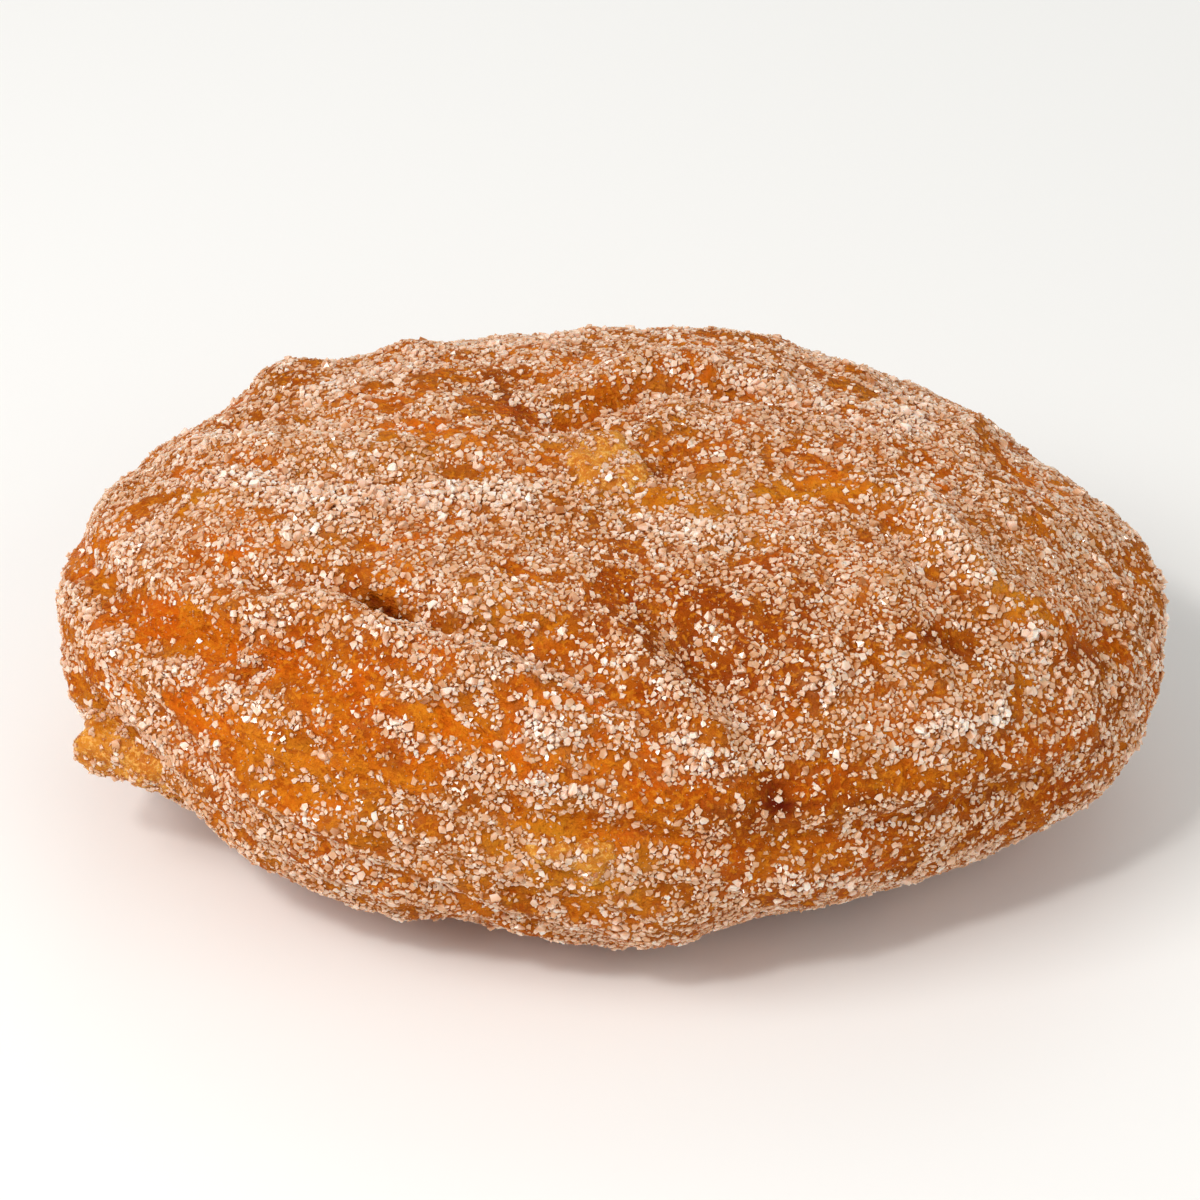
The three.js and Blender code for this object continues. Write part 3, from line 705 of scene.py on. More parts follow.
@dataclass(frozen=True)
class SugarFinish:
    """Granulated sugar: clear, cream, white or frosted by tint, glossy, with light that wanders inside."""

    clear: Colour = srgb(178, 108, 48)
    cream: Colour = srgb(217, 166, 125)
    white: Colour = srgb(243, 207, 183)
    frost: Colour = srgb(252, 236, 222)
    tint_step: float = 0.5
    roughness: float = 0.2
    scatter: float = 0.6
    scatter_colour: Point = (1.0, 0.7, 0.5)
    scatter_depth: float = 0.35
    refraction: float = 1.54
    specular: float = 0.6

    def material(self) -> bpy.types.Material:
        """Makes the sugar's material.

        Returns:
            A material that reads each grain's tint and passes from one colour to the next at each step.
        """
        shader = Shader("sugar")
        tint = shader.attribute("tint")
        colour = self.clear
        for number, over in enumerate((self.cream, self.white, self.frost)):
            low = number * self.tint_step
            colour = shader.blend(shader.ramp(tint, low, low + self.tint_step), colour, over)
        shader.feed("Base Color", colour)
        shader.set("Roughness", self.roughness)
        shader.scatter(self.scatter, self.scatter_colour, self.scatter_depth)
        shader.set("IOR", self.refraction)
        shader.set("Specular IOR Level", self.specular)
        return shader.material


@dataclass(frozen=True)
class FloorFinish:
    """A plain pale floor."""

    white: Colour = srgb(244, 243, 241)
    roughness: float = 0.7

    def material(self) -> bpy.types.Material:
        """Makes the floor's material.

        Returns:
            A material of one even colour.
        """
        shader = Shader("floor")
        shader.set("Base Color", self.white)
        shader.set("Roughness", self.roughness)
        return shader.material


class Shader:
    """A material's node tree, with short ways to add the few kinds of node that the finishes use."""

    def __init__(self, name: str) -> None:
        """Starts a material with one principled shader.

        Args:
            name: The material's name.
        """
        self.material = bpy.data.materials.new(name)
        self.material.use_nodes = True
        self.nodes = self.material.node_tree.nodes
        self.links = self.material.node_tree.links
        self.principled = self.nodes["Principled BSDF"]
        self.place = self.nodes.new("ShaderNodeTexCoord").outputs["Object"]

    def wire(self, node: bpy.types.Node, **inputs: object) -> bpy.types.Node:
        """Sets a node's inputs, by links where a value is another node's output.

        Args:
            node: The node to fill in.
            **inputs: Values by socket name, with underscores for spaces, or by i and the socket's number.

        Returns:
            The same node.
        """
        for name, value in inputs.items():
            numbered = name[0] == "i" and name[1:].isdigit()
            socket = node.inputs[int(name[1:])] if numbered else node.inputs[name.replace("_", " ")]
            if isinstance(value, bpy.types.NodeSocket):
                self.links.new(value, socket)
            else:
                socket.default_value = value
        return node

    def noise(
        self,
        size: float,
        detail: float,
        roughness: float,
        squeeze: Point = (1.0, 1.0, 1.0),
        turn: float = 0.0,
    ) -> bpy.types.NodeSocket:
        """Smooth noise from 0 to 1.

        Args:
            size: How large its bumps are, in millimetres.
            detail: How many finer layers it has.
            roughness: How strong those layers are.
            squeeze: Scales along the turned axes; less than 1 draws the bumps out.
            turn: The turn of those axes about the upright, in radians.

        Returns:
            The noise's value.
        """
        place = self.nodes.new("ShaderNodeMapping")
        place.vector_type = "TEXTURE"
        self.wire(place, Vector=self.place, Rotation=(0, 0, turn), Scale=tuple(1 / s for s in squeeze))
        node = self.nodes.new("ShaderNodeTexNoise")
        self.wire(node, Vector=place.outputs[0], Scale=1 / (size * MM), Detail=detail, Roughness=roughness)
        return node.outputs["Fac"]

    def attribute(self, name: str) -> bpy.types.NodeSocket:
        """A number that the piece's mesh carries at each point.

        Args:
            name: The attribute's name.

        Returns:
            The number.
        """
        node = self.nodes.new("ShaderNodeAttribute")
        node.attribute_name = name
        return node.outputs["Fac"]

    def math(self, operation: str, a: object, b: object) -> bpy.types.NodeSocket:
        """Joins two numbers by a sum, product or like operation.

        Args:
            operation: The operation, as the math node names it.
            a: The first number, or a node's output.
            b: The second number, or a node's output.

        Returns:
            The result.
        """
        node = self.nodes.new("ShaderNodeMath")
        node.operation = operation
        return self.wire(node, i0=a, i1=b).outputs[0]

    def ramp(
        self, value: bpy.types.NodeSocket, low: float, high: float, start: float = 0.0, end: float = 1.0
    ) -> bpy.types.NodeSocket:
        """Maps a number smoothly, from start at low to end at high.

        Args:
            value: The number.
            low: Where the change begins.
            high: Where the change ends.
            start: The result up to low.
            end: The result from high on.

        Returns:
            The result.
        """
        node = self.nodes.new("ShaderNodeMapRange")
        node.interpolation_type = "SMOOTHSTEP"
        self.wire(node, Value=value, From_Min=low, From_Max=high, To_Min=start, To_Max=end)
        return node.outputs["Result"]

    def blend(self, share: object, under: object, over: object) -> bpy.types.NodeSocket:
        """Lays one colour over another.

        Args:
            share: How much of the upper colour shows, from 0 to 1.
            under: The lower colour.
            over: The upper colour.

        Returns:
            The mixed colour.
        """
        node = self.nodes.new("ShaderNodeMix")
        node.data_type = "RGBA"
        return self.wire(node, i0=share, i6=under, i7=over).outputs[2]

    def bump(self, height: bpy.types.NodeSocket, strength: float, depth: float) -> None:
        """Roughens the surface.

        Args:
            height: The height of each point, from 0 to 1.
            strength: How strongly it shows.
            depth: The depth of a height of 1, in millimetres.
        """
        node = self.nodes.new("ShaderNodeBump")
        self.wire(node, Height=height, Strength=strength, Distance=depth * MM)
        self.feed("Normal", node.outputs["Normal"])

    def scatter(self, weight: float, colour: Point, depth: float) -> None:
        """Lets light wander below the surface.

        Args:
            weight: How much of the light does.
            colour: How far red, green and blue get, as shares of the depth.
            depth: How deep it gets, in millimetres.
        """
        self.set("Subsurface Weight", weight)
        self.set("Subsurface Radius", colour)
        self.set("Subsurface Scale", depth * MM)

    def feed(self, name: str, value: bpy.types.NodeSocket) -> None:
        """Links a value to one of the principled shader's inputs."""
        self.links.new(value, self.principled.inputs[name])

    def set(self, name: str, value: object) -> None:
        """Sets one of the principled shader's inputs to the same value all over."""
        self.principled.inputs[name].default_value = value


def tie(piece: bpy.types.Object, material: bpy.types.Material, slot: str, *replaced: str) -> None:
    """Gives a piece its finish and ties it to the frame.

    Args:
        piece: The piece, in place.
        material: Its finish.
        slot: The record's slot for that finish; not used.
        *replaced: The solids that the piece stands for.
    """
    piece.data.materials.append(material)
    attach(piece, "root")
    if replaced:
        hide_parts(*replaced)


def add_piece(name: str, mesh: bpy.types.Mesh) -> bpy.types.Object:
    """Puts a mesh in the scene as an object at the origin.

    Args:
        name: The object's name.
        mesh: The mesh, in place.

    Returns:
        The object.
    """
    piece = bpy.data.objects.new(name, mesh)
    bpy.context.scene.collection.objects.link(piece)
    return piece


def read_points(mesh: bpy.types.Mesh, kind: str = "co") -> np.ndarray:
    """Reads a mesh's vertices.

    Args:
        mesh: The mesh.
        kind: What is read: "co" for places or "normal" for normals.

    Returns:
        One row a vertex.
    """
    values = np.empty(len(mesh.vertices) * 3, np.float32)
    mesh.vertices.foreach_get(kind, values)
    return values.reshape(-1, 3).astype(float)


def write_points(mesh: bpy.types.Mesh, points: np.ndarray) -> None:
    """Moves a mesh's vertices."""
    mesh.vertices.foreach_set("co", points.astype(np.float32).ravel())
    mesh.update()


def write_attribute(mesh: bpy.types.Mesh, name: str, values: np.ndarray) -> None:
    """Stores one number a vertex on a mesh."""
    attribute = mesh.attributes.new(name, "FLOAT", "POINT")
    attribute.data.foreach_set("value", values.astype(np.float32))


def ball_mesh(name: str, subdivisions: int, cuts: int = 0) -> bpy.types.Mesh:
    """A ball of radius 1 with even triangles and smooth shading.

    Args:
        name: The mesh's name.
        subdivisions: How often the starting triangles are halved.
        cuts: Into how many more stretches than one each edge is then cut.

    Returns:
        The mesh.
    """
    ball = bmesh.new()
    bmesh.ops.create_icosphere(ball, subdivisions=subdivisions, radius=1)
    if cuts:
        bmesh.ops.subdivide_edges(ball, edges=ball.edges[:], cuts=cuts, use_grid_fill=True)
        for vertex in ball.verts:
            vertex.co.normalize()
    for face in ball.faces:
        face.smooth = True
    mesh = bpy.data.meshes.new(name)
    ball.to_mesh(mesh)
    ball.free()
    return mesh


def triangles_of(mesh: bpy.types.Mesh) -> np.ndarray:
    """Reads a triangle mesh's faces.

    Args:
        mesh: The mesh.

    Returns:
        One row of three vertex numbers a face.
    """
    corners = np.empty(len(mesh.loops), np.int32)
    mesh.loops.foreach_get("vertex_index", corners)
    return corners.reshape(-1, 3)


@dataclass
class Surface:
    """Triangles that sugar can stick to.

    Attributes:
        points: The vertices' places.
        normals: The vertices' outward normals.
        triangles: One row of three vertex numbers a triangle.
        cover: How much of the surface sugar covers at each vertex, from 0 to 1.
        heap: How high sugar is heaped at each vertex, from 0 to 1.
    """

    points: np.ndarray
    normals: np.ndarray
    triangles: np.ndarray
    cover: np.ndarray
    heap: np.ndarray

    @staticmethod
    def joined(surfaces: list["Surface"]) -> "Surface":
        """Joins several surfaces.

        Args:
            surfaces: The surfaces.

        Returns:
            All of them as one.
        """
        starts = np.cumsum([0] + [len(s.points) for s in surfaces[:-1]])
        return Surface(
            np.vstack([s.points for s in surfaces]),
            np.vstack([s.normals for s in surfaces]),
            np.vstack([s.triangles + start for s, start in zip(surfaces, starts)]),
            np.concatenate([s.cover for s in surfaces]),
            np.concatenate([s.heap for s in surfaces]),
        )


@dataclass(frozen=True)
class Skin:
    """How the crust is browned, given painted shade and sugared: along the streaks, and between them in
    chance patches.

    Attributes:
        fray: Layers that move a streak's points by chance, so that its edges are ragged.
        bare_gain: How much stronger bareness is than the streaks' own amounts.
        bare_heap_loss: How much of a heap a bare place loses.
        bare_cover_loss: How much of its sugar a bare place loses.
        crease_loss: How much of its sugar a crease loses.
        crease_shade_gain: How much stronger a crease's painted shade is than its depth.
        left_heading: The level heading that drifts of sugar are drawn out along at the left end.
        right_heading: The same at the right end.
        drift_draw: How much of the length along the heading is kept.
        left_drift: The layer of drifts at the left end.
        right_drift: The layer of drifts at the right end.
        turn_lean: How far the line where the heading turns leans over.
        turn_span: Where the turn begins and ends.
        drift_gain: How strong the drifts are.
        patches: Layers of patches that aren't drawn out.
        even_cover: The cover where no patch or streak changes it.
        patch_gain: How far patches and streaks change the cover.
        least_patch: The least cover that patches leave.
        heap_cover: How much cover a heap adds.
        least_cover: The least cover of all.
        foot: The heights between which the sugar begins.
        underside: How far down a face looks where sugar begins to be lost, and where it loses the most.
        underside_loss: How much of its sugar the underside loses.
        even_toast_and_shade: How toasted the crust is before patches and bareness; the toasting includes
            painted shade between the grains.
        toast_and_shade_patches: Patches of toasting and painted shade.
        bare_toast_and_shade_loss: How much of its toasting and painted shade a bare place loses.
        brown_patches: Patches of browning, off the bare places.
        dust: How much the cover and the heaps dust the crust.
    """

    fray: tuple[Layer, ...] = (Layer(1.6, 3.0, 2.0), Layer(1.6, 3.0, 4.0), Layer(1.6, 3.0, 6.0))
    bare_gain: float = 1.25
    bare_heap_loss: float = 0.7
    bare_cover_loss: float = 0.97
    crease_loss: float = 0.9
    crease_shade_gain: float = 1.1
    left_heading: tuple[float, float] = (0.97, -0.25)
    right_heading: tuple[float, float] = (0.6, -0.8)
    drift_draw: float = 0.35
    left_drift: Layer = Layer(1.0, 2.6, 5.0)
    right_drift: Layer = Layer(1.0, 2.6, 9.0)
    turn_lean: float = 0.5
    turn_span: tuple[float, float] = (-20, 15)
    drift_gain: float = 0.8
    patches: tuple[Layer, ...] = (Layer(0.8, 1.9, 3.0), Layer(0.6, 5.0, 8.0))
    even_cover: float = 0.645
    patch_gain: float = 1.2
    least_patch: float = 0.05
    heap_cover: float = 0.8
    least_cover: float = 0.02
    foot: tuple[float, float] = (0.3, 1.6)
    underside: tuple[float, float] = (0.6, 0.9)
    underside_loss: float = 0.6
    even_toast_and_shade: float = 0.7
    toast_and_shade_patches: Layer = Layer(0.9, 6, 11.0)
    bare_toast_and_shade_loss: float = 0.9
    brown_patches: Layer = Layer(0.7, 3.6, 14.0)
    dust: tuple[float, float] = (0.32, 0.4)

    def drifting(self, points: np.ndarray) -> np.ndarray:
        """Unevenness drawn out the way that the folds run, which turns from the left end to the right.

        Args:
            points: Points on the crust.

        Returns:
            One number a point.
        """
        left = self.left_drift.at(drawn_out(points, self.left_heading, self.drift_draw))
        right = self.right_drift.at(drawn_out(points, self.right_heading, self.drift_draw))
        turn = smoothstep(points[:, 0] - self.turn_lean * points[:, 1], *self.turn_span)
        return (1 - turn) * left + turn * right

    def patchiness(self, points: np.ndarray) -> np.ndarray:
        """How much more sugar chance leaves at each point than is usual.

        Args:
            points: Points on the crust.

        Returns:
            One number a point, negative where there is less.
        """
        patchy = self.drift_gain * self.drifting(points)
        for layer in self.patches:
            patchy += layer.at(points)
        return patchy

    def lay_on(
        self, mesh: bpy.types.Mesh, points: np.ndarray, normals: np.ndarray, crease: np.ndarray
    ) -> Surface:
        """Works out how the crust is browned, given painted shade and sugared, and stores it on the skin.

        Args:
            mesh: The skin.
            points: Its points once folded.
            normals: Its normals.
            crease: How deep in a groove each point is, from 0 to 1.

        Returns:
            The skin as a surface for the sugar.
        """
        ragged = points + np.stack([layer.at(points) for layer in self.fray], axis=1)
        bare = np.clip(self.bare_gain * streaked(BARE, ragged, normals), 0, 1)
        # Painted shade in creases and pits, which also lose their sugar.
        crease = np.clip(crease + streaked(CREASE_SHADE, points, normals), 0, 1)
        uncreased = 1 - self.crease_loss * crease
        heap = np.clip(streaked(DRIFTS, ragged, normals), 0, 1)
        heap *= (1 - self.bare_heap_loss * bare) * uncreased
        patchy = self.patchiness(points) + streaked(DENSE, ragged, normals)
        cover = np.clip(self.even_cover + self.patch_gain * patchy, self.least_patch, 1)
        cover *= 1 - self.bare_cover_loss * bare
        cover *= uncreased
        cover = np.clip(cover + self.heap_cover * heap, self.least_cover, 1)
        cover *= smoothstep(points[:, 2], *self.foot)
        cover *= 1 - self.underside_loss * smoothstep(-normals[:, 2], *self.underside)
        # Browner crust and painted shade, along the streaks.
        brown_and_shade = np.clip(streaked(BROWN_AND_SHADE, ragged, normals), 0, 1)
        shares = {
            "crease": crease * self.crease_shade_gain,
            "bare": bare,
            # Toasting with painted shade between the grains, off the bare places.
            "toast_and_grain_shade": self.even_toast_and_shade + self.toast_and_shade_patches.at(points) - self.bare_toast_and_shade_loss * bare,
            "brown_and_shade": brown_and_shade + self.brown_patches.at(points) * (1 - bare),
            "gold": streaked(GOLD, ragged, normals),
            "dust": self.dust[0] * cover + self.dust[1] * heap,
        }
        for name, share in shares.items():
            write_attribute(mesh, name, np.clip(share, 0, 1))
        return Surface(points, normals, triangles_of(mesh), cover, heap)


@dataclass
class Dough:
    """The folded, fried body, with the sizes of its plain oval and of its crust's unevenness.

    Attributes:
        length: The oval's length.
        depth: The oval's depth.
        height: The height of its top.
        waist: The height at which it is widest.
        flat_sink: How far the round underside would reach below the table.
        crown_roundness: The power of the curve above the waist; 2 is round and more is squarer.
        foot_roundness: The same below the waist.
        upward_draw: How far vertices are drawn towards the top.
        pole_pull: How far vertices above the waist are drawn towards the top.
        subdivisions: How often the starting ball's triangles are halved.
        cuts: Into how many more stretches than one each edge is then cut.
        swell: The broadest unevenness.
        blister: Blisters.
        pucker: The finest unevenness.
        deep_groove: The depth from which a groove has a crease's full painted shade.
        pleat_pitch: The height between pleats of the front left wall.
        pleat_slope: How far the pleats climb to the left.
        pleat_rise: How high the pleats stand.
        pleat_waver: How far the pleats waver.
        pleat_wall: How far forward a face looks where pleats begin, and where they are full.
        pleat_reach: How far left the pleats begin, and where they are full.
        wrinkles: The size, width and depth of each layer of wrinkles.
        wrinkle_heading: The level heading that wrinkles run along.
        wrinkle_draw: How much of the length along it is kept.
        skin: How the crust is browned, given painted shade and sugared.
    """

    length: float = 102.6
    depth: float = 75.4
    height: float = 35.0
    waist: float = 16.0
    flat_sink: float = 1.1
    crown_roundness: float = 2.35
    foot_roundness: float = 2.4
    upward_draw: float = 0.25
    pole_pull: float = 1.6
    subdivisions: int = 6
    cuts: int = 2
    swell: Layer = Layer(0.9, 11)
    blister: Layer = Layer(0.5, 4.5)
    pucker: Layer = Layer(0.16, 1.9)
    deep_groove: float = 3.0
    pleat_pitch: float = 4.6
    pleat_slope: float = 0.28
    pleat_rise: float = 0.35
    pleat_waver: float = 1.4
    pleat_wall: tuple[float, float] = (0.2, 0.7)
    pleat_reach: tuple[float, float] = (-14, 10)
    wrinkles: tuple[tuple[float, float, float], ...] = ((3.2, 0.14, 0.2), (1.7, 0.22, 0.14))
    wrinkle_heading: tuple[float, float] = (0.85, -0.53)
    wrinkle_draw: float = 0.6
    skin: Skin = Skin()

    def rim_reach(self, direction: np.ndarray) -> np.ndarray:
        """How far the rim reaches past the oval.

        Args:
            direction: Directions seen from above, in degrees.

        Returns:
            One number a direction.
        """
        reach = np.zeros_like(direction)
        for lobe in RIM_LOBES:
            turn = np.abs((direction - lobe.at + 180) % 360 - 180)
            reach += lobe.reach * hump(turn, lobe.spread)
        return reach

    def body(self, ball: np.ndarray) -> np.ndarray:
        """The plain, unfolded body.

        Args:
            ball: Points on a ball of radius 1.

        Returns:
            The points of the body that they become.
        """
        draw = 1 + self.upward_draw * ball[:, 2]
        d = ball * (math.sqrt(1 - self.upward_draw**2) / draw)[:, None]
        d[:, 2] = (ball[:, 2] + self.upward_draw) / draw
        rising = d[:, 2] > 0
        d[:, 2] *= np.where(rising, self.pole_pull, 1)
        d /= np.linalg.norm(d, axis=1)[:, None]
        power = np.where(rising, self.crown_roundness, self.foot_roundness)
        flat = np.hypot(d[:, 0], d[:, 1])
        scale = (flat**power + np.abs(d[:, 2]) ** power) ** (-1 / power)
        reach = self.rim_reach(np.degrees(np.arctan2(d[:, 1], d[:, 0])))
        rise = np.where(rising, self.height - self.waist, self.waist + self.flat_sink)
        return np.stack(
            [
                d[:, 0] * scale * (self.length / 2 + reach),
                d[:, 1] * scale * (self.depth / 2 + reach),
                self.waist + d[:, 2] * scale * rise,
            ],
            axis=1,
        )

    def pleats(self, points: np.ndarray, normals: np.ndarray) -> np.ndarray:
        """Low pleats that run round the front left wall and fade out on the flatter top.

        Args:
            points: Points on the unfolded body.
            normals: Their outward normals.

        Returns:
            What the pleats add to the skin's height at each point.
        """
        wall = smoothstep(-normals[:, 1], *self.pleat_wall) * smoothstep(-points[:, 0], *self.pleat_reach)
        waver = self.pleat_waver * unevenness(points, self.swell.size)
        level = points[:, 2] + self.pleat_slope * points[:, 0] + waver
        return self.pleat_rise * wall * np.sin(2 * np.pi * level / self.pleat_pitch)

    def build(self) -> tuple[bpy.types.Object, Surface]:
        """Makes and dresses the dough's piece.

        Returns:
            The piece, and its surface for the sugar.
        """
        mesh = ball_mesh("dough_crust", self.subdivisions, self.cuts)
        points = self.body(read_points(mesh))
        write_points(mesh, points)
        normals = read_points(mesh, "normal")
        relief = sum(lump.height(points) for lump in LUMPS.values()) + self.pleats(points, normals)
        relief += self.swell.at(points)
        relief += self.blister.at(points)
        crease = np.zeros(len(points))
        for fold in FOLDS.values():
            lip, groove = fold.shares(points, normals)
            relief += fold.lip * lip - fold.groove * groove
            # Deeper grooves get more of the painted crease shade.
            crease = np.maximum(crease, groove * min((fold.groove / self.deep_groove) ** 2, 1))
        shaped = points + normals * relief[:, None]
        write_points(mesh, shaped)
        normals = read_points(mesh, "normal")
        pucker = self.pucker.at(shaped) - self.wrinkling(shaped)
        shaped += normals * pucker[:, None]
        shaped[:, 2] = np.maximum(shaped[:, 2], 0)
        write_points(mesh, (shaped + BODY_OFFSET) * MM)
        normals = read_points(mesh, "normal")
        surface = self.skin.lay_on(mesh, shaped, normals, crease)
        piece = add_piece("dough_crust", mesh)
        tie(piece, CrustFinish().material(), "crust", "dough")
        return piece, surface

    def wrinkling(self, points: np.ndarray) -> np.ndarray:
        """How deep the fine wrinkles of the crust are at each point."""
        lines = drawn_out(points, self.wrinkle_heading, self.wrinkle_draw)
        return sum(
            depth * np.clip(1 - np.abs(unevenness(lines, size, size)) / width, 0, 1)
            for size, width, depth in self.wrinkles
        )


@dataclass
class AppleChunk:
    """A diced piece of apple that shows at the crust.

    Attributes:
        node: The solid that it stands for.
        at: Its middle.
        half: Its half sizes.
        turn: Its turn about each axis, in degrees.
        squareness: The power of its curve; 2 is round and more is squarer.
        cover: How much sugar it carries, from 0 to 1.
        even_cover: How much of that lies where chance changes nothing.
        dusting: Chance patches of sugar.
        subdivisions: How often the starting ball's triangles are halved.
        dents: The size and depth of its dents.
        fibres: Its fine fibres.
    """

    node: str
    at: Point
    half: Point
    turn: Point
    squareness: float
    cover: float
    even_cover: float = 0.6
    dusting: Layer = Layer(1.0, 2.0, 5.0)
    subdivisions: int = 5
    dents: tuple[float, float] = (2.2, 0.6)
    fibres: Layer = Layer(0.3, 0.8)

    def build(self, flesh: bpy.types.Material) -> tuple[bpy.types.Object, Surface]:
        """Makes and dresses the chunk's piece.

        Args:
            flesh: The finish that all chunks share.

        Returns:
            The piece, and its surface for the sugar.
        """
        mesh = ball_mesh(self.node + "_flesh", self.subdivisions)
        ball = read_points(mesh)
        square = (np.abs(ball) ** self.squareness).sum(1) ** (-1 / self.squareness)
        points = ball * square[:, None] * np.array(self.half)
        points += ball * (self.dents[1] * unevenness(points, self.dents[0], self.half[0]))[:, None]
        points += ball * self.fibres.at(points)[:, None]
        turn = np.array(Euler([math.radians(a) for a in self.turn]).to_matrix())
        points = points @ turn.T + np.array(self.at)
        write_points(mesh, (points + BODY_OFFSET) * MM)
        normals = read_points(mesh, "normal")
        cover = self.cover * np.clip(self.even_cover + self.dusting.at(points), 0, 1)
        surface = Surface(points, normals, triangles_of(mesh), cover, np.zeros(len(points)))
        piece = add_piece(self.node + "_flesh", mesh)
        tie(piece, flesh, "apple", self.node)
        return piece, surface


APPLE_CHUNKS = (
    AppleChunk(
        "apple_chunk_top",
        at=(-0.5, 1.8, 32.3), half=(4.0, 4.6, 3.0), turn=(8, -6, 20), squareness=3.0, cover=0.3,
    ),
    AppleChunk(
        "apple_chunk_side",
        at=(-43.5, -14.4, 13.1), half=(5.6, 2.5, 2.2), turn=(4, 10, -18), squareness=5.0, cover=0.35,
    ),
    AppleChunk(
        "apple_chunk_front",
        at=(-3.2, -32.9, 17.6), half=(4.6, 3.0, 3.0), turn=(12, 4, -3), squareness=3.0, cover=0.5,
    ),
)


@dataclass(frozen=True)
class GrainKind:
    """One kind of sugar grain, a small prism with uneven corners.

    Attributes:
        name: What the kind is called.
        sides: How many sides the prism has.
        top: The size of its top, as a share of its foot.
        most: The most grains that there may be.
        density: How many are tried on a square millimetre.
        heaped: How far the kind keeps to the heaps, from 0 to 1.
        stray: The least chance that a grain stays where it is tried.
        size: The least and greatest length.
        thickness: The least and greatest thickness, as a share of the length.
        tilt: How unevenly the grains lie.
        whiteness: The grains' usual tint: 0 for clear, 0.5 for cream, 1 for white.
    """

    name: str
    sides: int
    top: float
    most: int
    density: float
    heaped: float
    stray: float
    size: tuple[float, float]
    thickness: tuple[float, float]
    tilt: float
    whiteness: float

    RADIUS = 0.55

    def template(self) -> tuple[np.ndarray, np.ndarray]:
        """One grain of this kind, about 1 across.

        Returns:
            Its corners and its triangles.
        """
        grain = bmesh.new()
        bmesh.ops.create_cone(
            grain,
            segments=self.sides,
            radius1=self.RADIUS,
            radius2=self.top * self.RADIUS,
            depth=1,
            cap_ends=True,
        )
        bmesh.ops.triangulate(grain, faces=grain.faces[:])
        grain.verts.index_update()
        corners = np.array([v.co[:] for v in grain.verts])
        triangles = np.array([[v.index for v in f.verts] for f in grain.faces])
        grain.free()
        return corners, triangles


